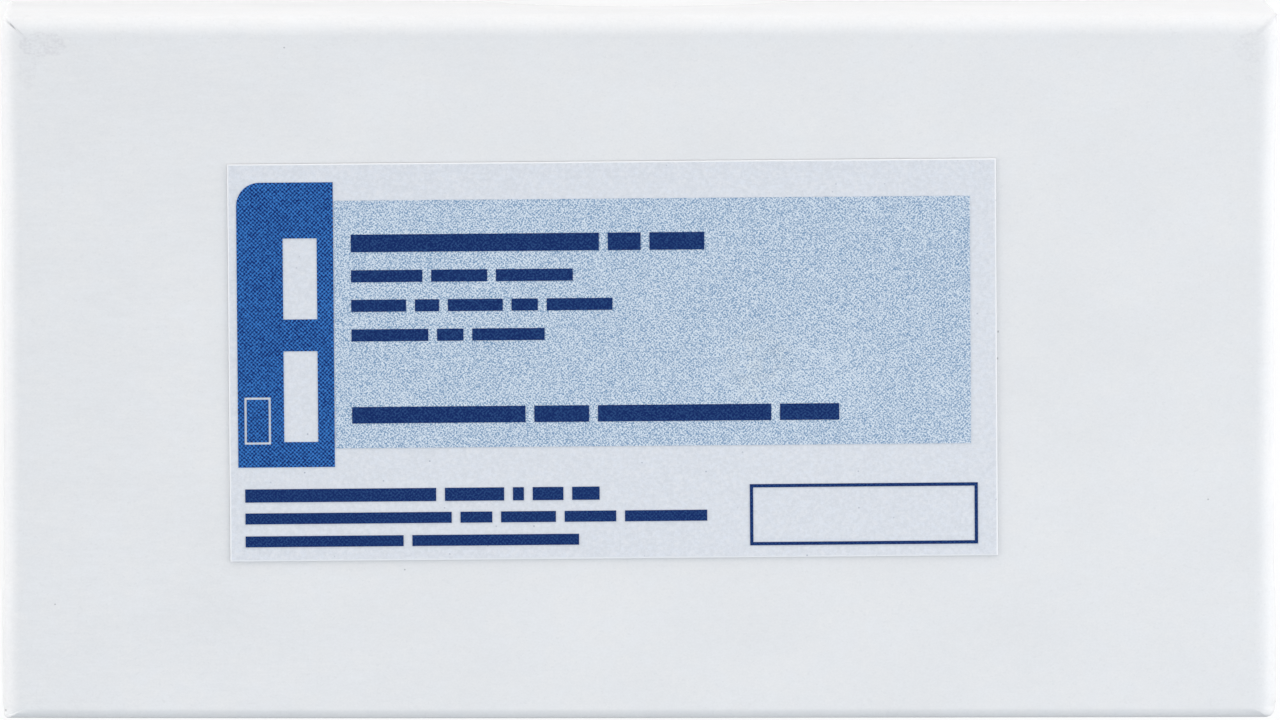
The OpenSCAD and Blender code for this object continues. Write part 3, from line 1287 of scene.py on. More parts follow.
    def _creases(self) -> Array:
        """Makes the creases along the panel's four mitres.

        Returns:
            Millimetres outward, zero or less.
        """
        out = np.zeros(len(self.side))
        for index, fold in enumerate(self.corners):
            turn = self.side == index + 4
            off = (self.along - 0.5) / fold.width
            crease = -fold.groove * np.exp(-(off**2)) - fold.pinch * np.exp(-(off**2) / 9)
            out = np.where(turn, crease, out)
        return out

    def ring(self, draft: Draft, insets: Sequence[float] | float, depth: Array | float,
             angle: float, radius: float, relief: bool = True) -> Array:
        """Adds one ring of vertices.

        Args:
            draft: the piece being made.
            insets: how far inside the outline, by side or for all.
            depth: depth below the panel, for all places or each.
            angle: which way the surface faces, as in relief.
            radius: the corners' radius.
            relief: false for surfaces that the folds don't move.

        Returns:
            The vertices' numbers.
        """
        insets = (insets,) * 4 if np.isscalar(insets) else insets
        at, out = self.plan(insets, radius)
        depth = np.broadcast_to(np.asarray(depth, float), self.side.shape).copy()
        if relief:
            moved = self.relief(at, depth, angle)
            at = at + out * (moved * math.sin(math.radians(angle)))[:, None]
            depth = depth - moved * math.cos(math.radians(angle))
        return self.bow.add(draft, at, self.face_z + self.way.value * depth)

    def fold_rings(self, draft: Draft, lift: float) -> list[Array]:
        """Adds the rings of the rounded fold.

        Args:
            draft: the piece being made.
            lift: how far inside the outer surface they lie.

        Returns:
            The rings, from the panel's edge to the wall.
        """
        rings = []
        for angle in np.linspace(0, 90, self.FOLD_STEPS + 1):
            sine, cosine = math.sin(math.radians(angle)), math.cos(math.radians(angle))
            insets = [w * (1 - sine) + lift * sine for w in self.fold_w]
            radius = self.mitre_r + (self.upright_r - self.mitre_r) * sine**2
            radius = max(radius - lift * sine, self.LEAST_R)
            depth = self.fold * (1 - cosine) + lift * cosine
            rings.append(self.ring(draft, insets, depth, angle, radius))
        return rings

    def wall_rings(self, draft: Draft, lift: float, end: Array, steps: int) -> list[Array]:
        """Adds the rings of the outer wall below the fold.

        Args:
            draft: the piece being made.
            lift: how far inside the outer surface they lie.
            end: depth of the last ring at each place.
            steps: how many rings there are.

        Returns:
            The rings, from the fold down.
        """
        shares = np.linspace(0, 1, steps + 1)[1:]
        shares = 1 - (1 - shares) ** 1.25
        radius = max(self.upright_r - lift, self.LEAST_R)
        return [
            self.ring(draft, lift, self.fold + (end - self.fold) * share, 90, radius)
            for share in shares
        ]

    def panel(self, draft: Draft, ring: Array, insets: Sequence[float] | float, depth: float,
              radius: float, relief: bool = True, slot: int = 0) -> None:
        """Adds the flat panel inside a ring.

        Args:
            draft: the piece being made.
            ring: the ring that it fills.
            insets: the ring's insets.
            depth: depth of the panel.
            radius: the ring's corner radius.
            relief: whether the panel has the wrap's small unevenness.
            slot: its material slot.
        """
        front, right, back, left = (insets,) * 4 if np.isscalar(insets) else insets
        long = self.along[self.side == FRONT]
        short = self.along[self.side == RIGHT]
        low = np.array([-self.half_x + left + radius, -self.half_y + front + radius])
        high = np.array([self.half_x - right - radius, self.half_y - back - radius])
        xs = low[0] + (long + 1) / 2 * (high[0] - low[0])
        ys = low[1] + (short + 1) / 2 * (high[1] - low[1])
        x, y = np.meshgrid(xs, ys, indexing="ij")
        z = np.full(x.shape, float(depth))
        if relief:
            swell = 1 - waves(x / 13.0, y / 11.0, self.seed + 9)
            z += self.SAG + self.PANEL_SWELL * self.unrest * swell
        height = (self.face_z + self.way.value * z).ravel()
        grid = self.bow.add(draft, np.stack([x.ravel(), y.ravel()], 1), height).reshape(x.shape)
        draft.loft(grid, slot, closed=False)
        border = [grid[:, 0], grid[-1, :], grid[::-1, -1], grid[0, ::-1]]
        inner = np.concatenate(
            [np.concatenate([edge, np.full(self.ARC_STEPS - 1, edge[-1])]) for edge in border]
        )
        draft.bridge(ring, inner, slot)

    def hem_rings(self, draft: Draft, lift: float) -> tuple[list[Array], list[Array]]:
        """Adds the rings where the wrap turns round the rim, square-cut at a notch.

        Args:
            draft: the piece being made.
            lift: how far inside the paper's outer surface they lie.

        Returns:
            The rings on the outer side of the rim, and those on its inner side.
        """
        cut = self.in_notch
        round_r = np.where(cut, 0.0, self.hem_r - lift)
        centre = np.where(cut, self.rim, self.depth - self.hem_r)
        halves: list[list[Array]] = [[], []]
        for inner in (0, 1):
            for step in range(self.HEM_STEPS + 1):
                turn = math.pi / 2 * step / self.HEM_STEPS
                turn = math.pi / 2 - turn if inner else turn
                reach = np.where(cut, lift, self.hem_r - round_r * math.cos(turn))
                sideways = self.wall_t - reach if inner else reach
                depth = centre + round_r * math.sin(turn)
                halves[inner].append(self._uneven_ring(draft, sideways, depth, bool(inner)))
        return halves[0], halves[1]

    def _uneven_ring(self, draft: Draft, inset: Array, depth: Array, inner: bool) -> Array:
        """Adds a ring whose inset differs from place to place.

        Args:
            draft: the piece being made.
            inset: how far inside the outline it lies at each place.
            depth: depth below the panel at each place.
            inner: whether it lies on the inner side of the wall.

        Returns:
            The vertices' numbers.
        """
        radius = self.INNER_R if inner else self.upright_r
        at, out = self.plan((0.0,) * 4, radius + (self.wall_t if inner else 0.0), inner)
        moved = 0.0 if inner else self.relief(at, depth, 90)
        at = at + out * (moved - inset)[:, None]
        return self.bow.add(draft, at, self.face_z + self.way.value * depth)

    def turn_in_rings(self, draft: Draft, lift: float, start: Array) -> list[Array]:
        """Adds the rings of the paper turned in behind the rim.

        Args:
            draft: the piece being made.
            lift: how far inside the paper's outer surface they lie.
            start: depth of the rim's last ring at each place.

        Returns:
            The rings, from the rim up.
        """
        top = self.depth - self.turn_in
        shares = np.linspace(0, 1, self.TURN_STEPS + 1)[1:]
        inset = np.full(len(self.side), self.wall_t - lift)
        depths = [start + (top - start) * share for share in shares]
        return [self._uneven_ring(draft, inset, depth, True) for depth in depths]

    def wrap(self, name: str, material: bpy.types.Material) -> bpy.types.Object:
        """Makes the paper wrap as one closed sheet.

        Args:
            name: the piece's name.
            material: its finish.

        Returns:
            The piece.
        """
        draft = Draft()
        end = np.where(self.in_notch, self.rim, self.depth - self.hem_r)
        skins = []
        for lift in (0.0, self.paper_t):
            folds = self.fold_rings(draft, lift)
            outer = folds + self.wall_rings(draft, lift, end - self.CLEAR, self.WALL_STEPS)
            hem_out, hem_in = self.hem_rings(draft, lift)
            inner = self.turn_in_rings(draft, lift, end)
            self.panel(draft, folds[0], self.fold_w, lift, self.mitre_r)
            skins.append((outer + hem_out, hem_in + inner))
        notched = self.notched
        for outer, inner in skins:
            draft.loft(outer)
            draft.loft(inner)
            draft.bridge(outer[-1], inner[0], skip=notched)
        (outer, inner), (outer_glue, inner_glue) = skins
        draft.bridge(inner[-1], inner_glue[-1])
        draft.bridge(outer[-1], outer_glue[-1], skip=~notched)
        draft.bridge(inner[0], inner_glue[0], skip=~notched)
        for k in np.flatnonzero(notched != np.roll(notched, 1)):
            draft.face((outer[-1][k], inner[0][k], inner_glue[0][k], outer_glue[-1][k]))
        return draft.piece(name, [material])

    def board(self, name: str, materials: Sequence[bpy.types.Material]) -> bpy.types.Object:
        """Makes the folded greyboard under the wrap, open to view inside and at the notches.

        Args:
            name: the piece's name.
            materials: the board's face and its cut edge.

        Returns:
            The piece.
        """
        draft = Draft()
        edge = np.where(self.in_notch, self.rim - 0.03, self.depth - self.cover_t)
        folds = self.fold_rings(draft, self.board_lift)
        under = self.paper_t + 0.01
        radius = self.upright_r - self.paper_t
        outer = folds + self.wall_rings(draft, self.board_lift, edge - 0.9, 5)
        outer += [self.ring(draft, under, edge - rise, 90, radius) for rise in (0.6, 0.0)]
        self.panel(draft, folds[0], self.fold_w, self.board_lift, self.mitre_r)
        inset = self.wall_t - self.cover_t
        inner = [
            self.ring(draft, inset, edge + (self.panel_t - edge) * share, 90, self.INNER_R, False)
            for share in (0.0, 0.1, 0.3, 0.6, 1.0)
        ]
        draft.loft(outer)
        draft.bridge(outer[-1], inner[0], slot=1)
        draft.loft(inner)
        self.panel(draft, inner[-1], inset, self.panel_t, self.INNER_R, relief=False)
        return draft.piece(name, materials)

    def stays(self, name: str, material: bpy.types.Material, width: float = 9.0,
              thickness: float = 0.1) -> bpy.types.Object:
        """Makes the paper stays that hold the board's walls together at the corners.

        Args:
            name: the piece's name.
            material: its finish.
            width: how far a stay reaches along each wall.
            thickness: the stays' thickness.

        Returns:
            The piece.
        """
        draft = Draft()
        at, _ = self.plan((0.0,) * 4, self.upright_r)
        kept = (self.half_x - np.abs(at[:, 0])) + (self.half_y - np.abs(at[:, 1])) < width
        low, high = max(self.fold_d) + 0.5, self.depth - self.cover_t - 1.0
        depths = np.linspace(low, high, 6)
        for corner in range(4):
            sign = np.sign(OUTWARD[corner] + OUTWARD[(corner + 1) % 4])
            here = np.flatnonzero(kept & np.all(np.sign(at) == sign, axis=1))
            here = np.roll(here, -1 - np.argmax(np.diff(here) > 1)) if corner == LEFT else here
            outer, inner = (
                [self.ring(draft, lift, d, 90, self.upright_r - lift)[here] for d in depths]
                for lift in (self.cover_t, self.cover_t + thickness)
            )
            loops = [np.concatenate([a, b[::-1]]) for a, b in zip(outer, inner)]
            draft.loft(loops)
            half = len(here)
            for loop in (loops[0], loops[-1]):
                draft.bridge(loop[:half], loop[:half - 1:-1], closed=False)
        return strip_loose(draft.piece(name, [material]))


def strip_loose(thing: bpy.types.Object) -> bpy.types.Object:
    """Deletes a piece's vertices that no face uses.

    Args:
        thing: the piece.

    Returns:
        The same piece.
    """
    made = bmesh.new()
    made.from_mesh(thing.data)
    bmesh.ops.delete(made, geom=[v for v in made.verts if not v.link_faces], context="VERTS")
    made.to_mesh(thing.data)
    made.free()
    return thing


Outline = Callable[[float], Array]


@dataclass
class FoamSheet:
    """A die-cut sheet of foam, with rounded cut edges and a slightly drawn-in cut.

    Attributes:
        half_x, half_y: half of its length and width.
        low, high: its heights.
        bow: how its box's walls are bowed.
        hole: outline of the hole through it, at an offset, or None.
        edge_r: rounding of the cut edges.
        waist: how far the cut draws back at half height.
        spacing: distance between the points on its faces.
        corner_r: radius of the sheet's corners.
        seed: tells one sheet's unevenness from another's.
    """

    half_x: float
    half_y: float
    low: float
    high: float
    bow: Bow
    hole: Outline | None = None
    edge_r: float = 0.35
    waist: float = 0.14
    spacing: float = 1.7
    corner_r: float = 1.2
    seed: float = 3.0

    ROW_STEP = 0.866
    UNEVEN = 0.05

    def _outer(self, offset: float) -> Array:
        """Makes the sheet's outline.

        Args:
            offset: how far it is drawn in.

        Returns:
            Rows of x and y.
        """
        points = []
        reach = self.corner_r - offset
        far = np.array([self.half_x, self.half_y]) - self.corner_r
        for index, sign in enumerate(((1, -1), (1, 1), (-1, 1), (-1, -1))):
            middle = far * sign
            for step in range(6):
                angle = (index - 1 + step / 5) * math.pi / 2
                points.append(middle + reach * np.array([math.cos(angle), math.sin(angle)]))
        return resampled(np.array(points), self.spacing)

    def _face(self, draft: Draft, rings: list[Array], height: float) -> None:
        """Fills a face of the sheet between its outline and its hole.

        Args:
            draft: the piece being made.
            rings: the vertices of the outline and of the hole's outline.
            height: the face's height.
        """
        known = np.concatenate([np.concatenate(draft.points)[r] for r in rings])
        xs = np.arange(-self.half_x, self.half_x, self.spacing)
        ys = np.arange(-self.half_y, self.half_y, self.spacing * self.ROW_STEP)
        grid = np.array(
            [(x + (row % 2) * self.spacing / 2, y) for row, y in enumerate(ys) for x in xs]
        )
        limit = self.edge_r + self.spacing * 0.45
        keep = np.all(np.abs(grid) < np.array([self.half_x, self.half_y]) - limit, axis=1)
        if self.hole is not None:
            keep &= ~inside(grid, self.hole(limit))
        grid = grid[keep]
        uneven = self.UNEVEN * waves(grid[:, 0] / 8.0, grid[:, 1] / 8.0, self.seed)
        sign = 1 if height > (self.low + self.high) / 2 else -1
        inner = self.bow.add(draft, grid, height - sign * np.abs(uneven))
        flat = [Vector(p) for p in (*known[:, :2], *grid)]
        edges, start = [], 0
        for ring in rings:
            n = len(ring)
            edges += [(start + k, start + (k + 1) % n) for k in range(n)]
            start += n
        numbers = np.concatenate([*rings, inner])
        _, _, faces, origin, _, _ = delaunay_2d_cdt(flat, edges, [], 1, 1e-5)
        hole = None if self.hole is None else self.hole(self.edge_r)
        for face in faces:
            corners = [origin[c][0] for c in face]
            centre = np.mean([[flat[c].x, flat[c].y] for c in corners], axis=0)
            if hole is None or not inside(centre[None], hole)[0]:
                draft.face([numbers[c] for c in corners])

    def piece(self, name: str, material: bpy.types.Material) -> bpy.types.Object:
        """Makes the sheet.

        Args:
            name: the piece's name.
            material: its finish.

        Returns:
            The piece.
        """
        draft = Draft()
        profile = rounding(self.edge_r)
        height = self.high - self.low
        waist = [(self.waist * math.sin(math.pi * s), self.edge_r + (height - 2 * self.edge_r) * s)
                 for s in (0.2, 0.4, 0.6, 0.8)]
        stations = [(o, self.high - d) for o, d in profile + waist]
        stations += [(o, self.low + d) for o, d in profile[::-1]]
        outlines: list[Outline] = [self._outer] + ([self.hole] if self.hole else [])
        ends: list[list[Array]] = [[], []]
        for outline in outlines:
            rows = [self.bow.add(draft, outline(offset), z) for offset, z in stations]
            draft.loft(rows)
            ends[0].append(rows[0])
            ends[1].append(rows[-1])
        self._face(draft, ends[0], self.high)
        self._face(draft, ends[1], self.low)
        return draft.piece(name, [material], sharp=60.0)


def resampled(points: Array, spacing: float) -> Array:
    """Adds points to the long edges of a closed outline.

    Args:
        points: rows of x and y.
        spacing: the longest edge that stays whole.

    Returns:
        The outline with more points.
    """
    out = []
    for here, there in zip(points, np.roll(points, -1, axis=0)):
        parts = max(1, round(float(np.linalg.norm(there - here)) / spacing))
        out += [here + (there - here) * k / parts for k in range(parts)]
    return np.array(out)


def inside(points: Array, outline: Array) -> Array:
    """Finds the points that lie inside a closed outline.

    Args:
        points: rows of x and y.
        outline: the outline's corners, as rows of x and y.

    Returns:
        True for each point inside.
    """
    x, y = points[:, 0][:, None], points[:, 1][:, None]
    ax, ay = outline[:, 0], outline[:, 1]
    bx, by = np.roll(ax, -1), np.roll(ay, -1)
    crosses = (ay > y) != (by > y)
    with np.errstate(divide="ignore", invalid="ignore"):
        at = ax + (y - ay) / (by - ay) * (bx - ax)
    return np.sum(crosses & (x < at), axis=1) % 2 == 1


@dataclass(frozen=True)
class SlotOutline:
    """The cut for the cuvette, with a round hole for finger and thumb across its middle.

    Attributes:
        half_length, half_width: half of the slot's length and width.
        corner_r: the slot's corner radius.
        hole_r: the finger hole's radius.
    """

    half_length: float = 24.1
    half_width: float = 6.55
    corner_r: float = 1.0
    hole_r: float = 13.0

    def __call__(self, offset: float) -> Array:
        """Makes the outline, always with as many points.

        Args:
            offset: how far it is moved outward.

        Returns:
            Rows of x and y.
        """
        radius, width = self.hole_r + offset, self.half_width + offset
        reach = math.acos(min(width / radius, 1.0))
        start = math.pi / 2 - reach
        arc = np.linspace(start, math.pi - start, 33)
        back = radius * np.stack([np.cos(arc), np.sin(arc)], 1)
        meet = back[-1, 0]
        corner = self.corner_r + offset
        middle = np.array([-self.half_length + self.corner_r, self.half_width - self.corner_r])
        turn = np.linspace(math.pi / 2, math.pi, 6)
        upper = middle + corner * np.stack([np.cos(turn), np.sin(turn)], 1)
        side = np.linspace([meet, width], upper[0], 8)[1:-1]
        end = np.linspace(upper[-1], upper[-1] * [1, -1], 8)[1:-1]
        half = np.concatenate([back, side, upper, end[:3]])
        lower = np.concatenate([end[3:], upper[::-1] * [1, -1], side[::-1] * [1, -1]])
        left = np.concatenate([half, lower])
        return np.concatenate([left, -left])


# ---------------------------------------------------------------- sub-assemblies


@dataclass
class Shell:
    """The lid's or base's tray: wrap, board and stays, on one body.

    Attributes:
        prefix: what the names of its CAD nodes and pieces start with.
        tray: its folded tray.
        body: the body that it rides.
    """

    prefix: str
    tray: Tray
    body: str

    def build(self, paper: bpy.types.Material, board: Sequence[bpy.types.Material],
              stay: bpy.types.Material) -> None:
        """Makes and dresses the tray's three pieces.

        Args:
            paper: the wrap's finish.
            board: the board's face and its cut edge.
            stay: the stays' finish.
        """
        made = {
            "wrap": (self.tray.wrap(f"{self.prefix}_paper", paper), "white_paper"),
            "board": (self.tray.board(f"{self.prefix}_greyboard", board), "greyboard"),
            "corner_stays": (self.tray.stays(f"{self.prefix}_stays", stay), "stay_paper"),
        }
        for part, (piece, slot) in made.items():
            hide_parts(f"{self.prefix}_{part}")
            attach(piece, self.body)


@dataclass
class Insert:
    """The foam in the base and under the lid's panel.

    Attributes:
        bow: how the box's walls draw in.
        half_x, half_y: half of the base's foam sheets' length and width.
        pad_margin: how much smaller the lid's pad is, on each side.
        skin: how far the two sheets in the base are parted, each by this much.
    """

    bow: Bow
    half_x: float = 54.02
    half_y: float = 28.02
    pad_margin: float = 1.8
    skin: float = 0.02

    def build(self, foam: bpy.types.Material) -> None:
        """Makes the three foam sheets.

        Args:
            foam: their finish.
        """
        floor_low, floor_high = node_heights("foam_floor_sheet")
        cut_low, cut_high = node_heights("foam_cut_layer")
        pad_low, pad_high = node_heights("lid_foam_pad")
        half = self.half_x, self.half_y
        pad_half = self.half_x - self.pad_margin, self.half_y - self.pad_margin
        sheets = {
            "foam_floor_sheet": ("foam_floor", "base", FoamSheet(
                *half, floor_low, floor_high - self.skin, self.bow, spacing=3.0)),
            "foam_cut_layer": ("foam_cut_sheet", "base", FoamSheet(
                *half, cut_low + self.skin, cut_high, self.bow, SlotOutline(), seed=5.0)),
            "lid_foam_pad": ("lid_pad", "lid", FoamSheet(
                *pad_half, pad_low, pad_high, self.bow, waist=0.05, seed=7.0)),
        }
        for node, (name, body, sheet) in sheets.items():
            piece = sheet.piece(name, foam)
            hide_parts(node)
            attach(piece, body)


def node_heights(node: str) -> tuple[float, float]:
    """Returns a CAD node's lowest and highest Z in millimetres."""
    low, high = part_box(node)
    return low[2] / MM, high[2] / MM


def chamfered(side: float, chamfer: float, middle: tuple[float, float]) -> Array:
    """Makes a square with cut corners.

    Args:
        side: its side.
        chamfer: how much is cut off along each side.
        middle: the Y and Z of its middle.

    Returns:
        Its eight corners, as rows of Y and Z.
    """
    h, b = side / 2, side / 2 - chamfer
    corners = [(h, -b), (h, b), (b, h), (-b, h), (-h, b), (-h, -b), (-b, -h), (b, -h)]
    return np.array(corners) + np.array(middle)


@dataclass
class Cuvette:
    """A square quartz cuvette that lies in the foam, with its mouth towards +X.

    Attributes:
        left, mouth: where its floor and its mouth lie along X.
        middle: the Y and Z of its axis.
        side, path: outer and inner side of the square.
        floor_t: thickness of the floor.
        chamfer: ground edges along the outside.
        mouth_chamfer: ground edges round the mouth.
        plate_t: thickness of the cap's plate.
        plate_r: rounding of the plate's outer edge.
        plug_l: how far the cap's plug reaches in.
        plug_gap: room round the plug.
    """

    left: float = -23.8
    mouth: float = 21.2
    middle: tuple[float, float] = (0.0, 12.82)
    side: float = 12.5
    path: float = 10.0
    floor_t: float = 1.5
    chamfer: float = 0.25
    mouth_chamfer: float = 0.18
    plate_t: float = 2.6
    plate_r: float = 0.30
    plug_l: float = 4.0
    plug_gap: float = 0.1

    def _ring(self, draft: Draft, x: float, side: float, chamfer: float) -> Array:
        """Adds one square ring across the cuvette."""
        flat = chamfered(side, chamfer, self.middle)
        return draft.add(np.column_stack([np.full(len(flat), x), flat]))

    def glass(self, polished: bpy.types.Material, frosted: bpy.types.Material) -> bpy.types.Object:
        """Makes the glass, with its two sides across the light path frosted.

        Args:
            polished: finish of the windows.
            frosted: finish of the other two sides.

        Returns:
            The piece.
        """
        draft = Draft()
        cut = self.mouth_chamfer
        stations = [
            (self.left, self.side - 2 * self.chamfer, self.chamfer / 2),
            (self.left + self.chamfer, self.side, self.chamfer),
            (self.mouth - cut, self.side, self.chamfer),
            (self.mouth, self.side - 2 * cut, self.chamfer / 2),
            (self.mouth, self.path + 2 * cut, self.chamfer / 2),
            (self.mouth - cut, self.path, self.chamfer / 2),
            (self.left + self.floor_t, self.path, self.chamfer / 2),
        ]
        rings = [self._ring(draft, *station) for station in stations]
        for k, (ring, other) in enumerate(zip(rings, rings[1:])):
            for corner in range(8):
                after = (corner + 1) % 8
                across = k == 1 and corner in (0, 4)
                draft.face((ring[corner], ring[after], other[after], other[corner]), int(across))
        draft.face(rings[0])
        draft.face(rings[-1])
        return draft.piece("cuvette_quartz", [polished, frosted], smooth_shaded=False)

    def cap(self, material: bpy.types.Material) -> bpy.types.Object:
        """Makes the cap with its rounded plate and its plug.

        Args:
            material: its finish.

        Returns:
            The piece.
        """
        draft = Draft()
        top = self.mouth + self.plate_t
        tip = self.mouth - self.plug_l
        plug = self.path - 2 * self.plug_gap
        plate = rounding(self.plate_r)[::-1]
        stations = [
            (tip, plug - 0.8, 0.3),
            (tip + 0.45, plug, 0.3),
            (self.mouth, plug, 0.3),
            (self.mouth, self.side - 0.2, 0.55),
            (self.mouth + 0.1, self.side, 0.6),
            *((top - drop, self.side - 2 * inset, 0.6) for inset, drop in plate),
            (top, self.side - 3.2, 0.5),
            (top - 0.12, self.side - 3.7, 0.5),
        ]
        rings = [self._soft_ring(draft, *station) for station in stations]
        draft.loft(rings)
        draft.face(rings[0])
        draft.face(rings[-1])
        return draft.piece("cuvette_cap_plastic", [material], sharp=50.0)

    def _soft_ring(self, draft: Draft, x: float, side: float, radius: float) -> Array:
        """Adds a square ring with rounded corners.

        Args:
            draft: the piece being made.
            x: where it lies along X.
            side: its side.
            radius: its corners' radius.

        Returns:
            The vertices' numbers.
        """
        points = []
        reach = side / 2 - radius
        for index, (sy, sz) in enumerate(((1, 1), (-1, 1), (-1, -1), (1, -1))):
            for step in range(7):
                angle = (index + step / 6) * math.pi / 2
                points.append((x, self.middle[0] + sy * reach + radius * math.cos(angle),
                               self.middle[1] + sz * reach + radius * math.sin(angle)))
        return draft.add(np.array(points))

    def build(self, cap: bpy.types.Material) -> None:
        """Makes and dresses the cuvette and its cap.

        Args:
            cap: the cap's finish.
        """
        glass = self.glass(*(Quartz(face).material() for face in QuartzFace))
        plug = self.cap(cap)
        made = ((glass, "cuvette", "quartz"), (plug, "cuvette_cap", "cap_plastic"))
        for piece, node, slot in made:
            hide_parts(node)
            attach(piece, "base")


@dataclass
class Label:
    """The label: stock with a cut edge that lifts a little, and its printed layers.

    Attributes:
        spot: its size and where it is stuck.
        edge_w: width of the edge that is pressed down by the die.
        edge_drop: how far it is pressed down.
        lift: how far the outer edge lifts off the lid.
        prints: the printed layers' CAD nodes and their finishes.
    """

    spot: LabelSpot = LabelSpot()
    edge_w: float = 0.16
    edge_drop: float = 0.04
    lift: float = 0.012
    prints: tuple[tuple[str, ScreenedPrint], ...] = (
        ("label_pale_field", ScreenedPrint(
            "pale_blue_screen", (0.175, 0.300, 0.475), (0.705, 0.775, 0.850), cover=0.43,
            grain=0.12, contrast=2.4, pitch=0.35, lattice=0.32, gloss=0.40,
            rubbed=Scuff((14.0, -0.6), (9.0, 4.6), 0.26),
            stain=Scuff((10.9, 0.2), (3.0, 3.6), 0.06))),
        ("label_blue_tab", ScreenedPrint(
            "blue_solid", (0.0, 0.010, 0.106), (0.045, 0.215, 0.610), cover=0.58,
            grain=0.16, contrast=1.0, pitch=0.37, lattice=0.62, gloss=0.36)),
        ("label_dark_print", ScreenedPrint(
            "dark_blue_solid", (0.002, 0.018, 0.110), (0.018, 0.060, 0.190), cover=0.75,
            grain=0.17, contrast=2.4, pitch=0.38, lattice=0.5, gloss=0.36)),
    )

    def stock(self, material: bpy.types.Material) -> bpy.types.Object:
        """Makes the label's paper.

        Args:
            material: its finish.

        Returns:
            The piece.
        """
        bottom, top = node_heights("label_paper")
        draft = Draft()
        edges = np.array([0.0, 0.03, 0.08, self.edge_w, 0.5, 1.5])
        places = []
        for length in self.spot.size:
            middle = np.linspace(3.0, length - 3.0, int(length // 2.5))
            places.append(np.concatenate([edges, middle, length - edges[::-1]]) - length / 2)
        u, v = np.meshgrid(*places, indexing="ij")
        half = np.array(self.spot.size) / 2
        from_edge = np.minimum(half[0] - np.abs(u), half[1] - np.abs(v))
        x, y = self.spot.placed(u, v)
        shoulder = self.edge_drop * (1 - smooth(from_edge, 0.0, 0.085)) ** 2
        curl = self.lift * (1 - smooth(from_edge, 0.0, 0.55))
        upper = top - shoulder - self.lift + curl
        lower = bottom + curl
        sheets = [draft.add(np.stack([x, y, z], 2)).reshape(x.shape) for z in (upper, lower)]
        for grid in sheets:
            draft.loft(grid, closed=False)
        loops = [
            np.concatenate([g[:, 0], g[-1, 1:], g[-2::-1, -1], g[0, -2:0:-1]]) for g in sheets
        ]
        draft.bridge(*loops)
        return draft.piece("label_stock", [material], sharp=50.0)

    def build(self, stock: bpy.types.Material) -> None:
        """Makes the stock and dresses the printed layers.

        Args:
            stock: the paper's finish.
        """
        piece = self.stock(stock)
        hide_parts("label_paper")
        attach(piece, "lid")
        for node, finish in self.prints:
            dress(node, finish.material())


def dress(node: str, material: bpy.types.Material) -> None:
    """Gives a carried-over CAD node its finish.

    Args:
        node: the node's name.
        material: its finish.
    """
    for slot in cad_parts[node].material_slots:
        slot.material = material
    log.info("%s: dressed", node)


# ---------------------------------------------------------------- studio


@dataclass(frozen=True)
class SoftBox:
    """A large lamp that faces the box.

    Attributes:
        name: its name.
        place: where it hangs, in metres.
        size: its width and height in metres.
        power: its power in watts.
        colour: its colour.
    """

    name: str
    place: tuple[float, float, float]
    size: tuple[float, float]
    power: float
    colour: Colour = (1.0, 0.962, 0.925)

    AIM = (0.0, 0.0, 0.02)

    def build(self) -> None:
        """Hangs the lamp and turns it towards the box."""
        data = bpy.data.lights.new(self.name, "AREA")
        data.shape = "RECTANGLE"
        data.size, data.size_y = self.size
        data.energy = self.power
        data.color = self.colour
        lamp = linked(self.name, data)
        lamp.location = self.place
        aim = Vector(self.AIM) - Vector(self.place)
        lamp.rotation_euler = aim.to_track_quat("-Z", "Y").to_euler()
        lamp.visible_camera = False


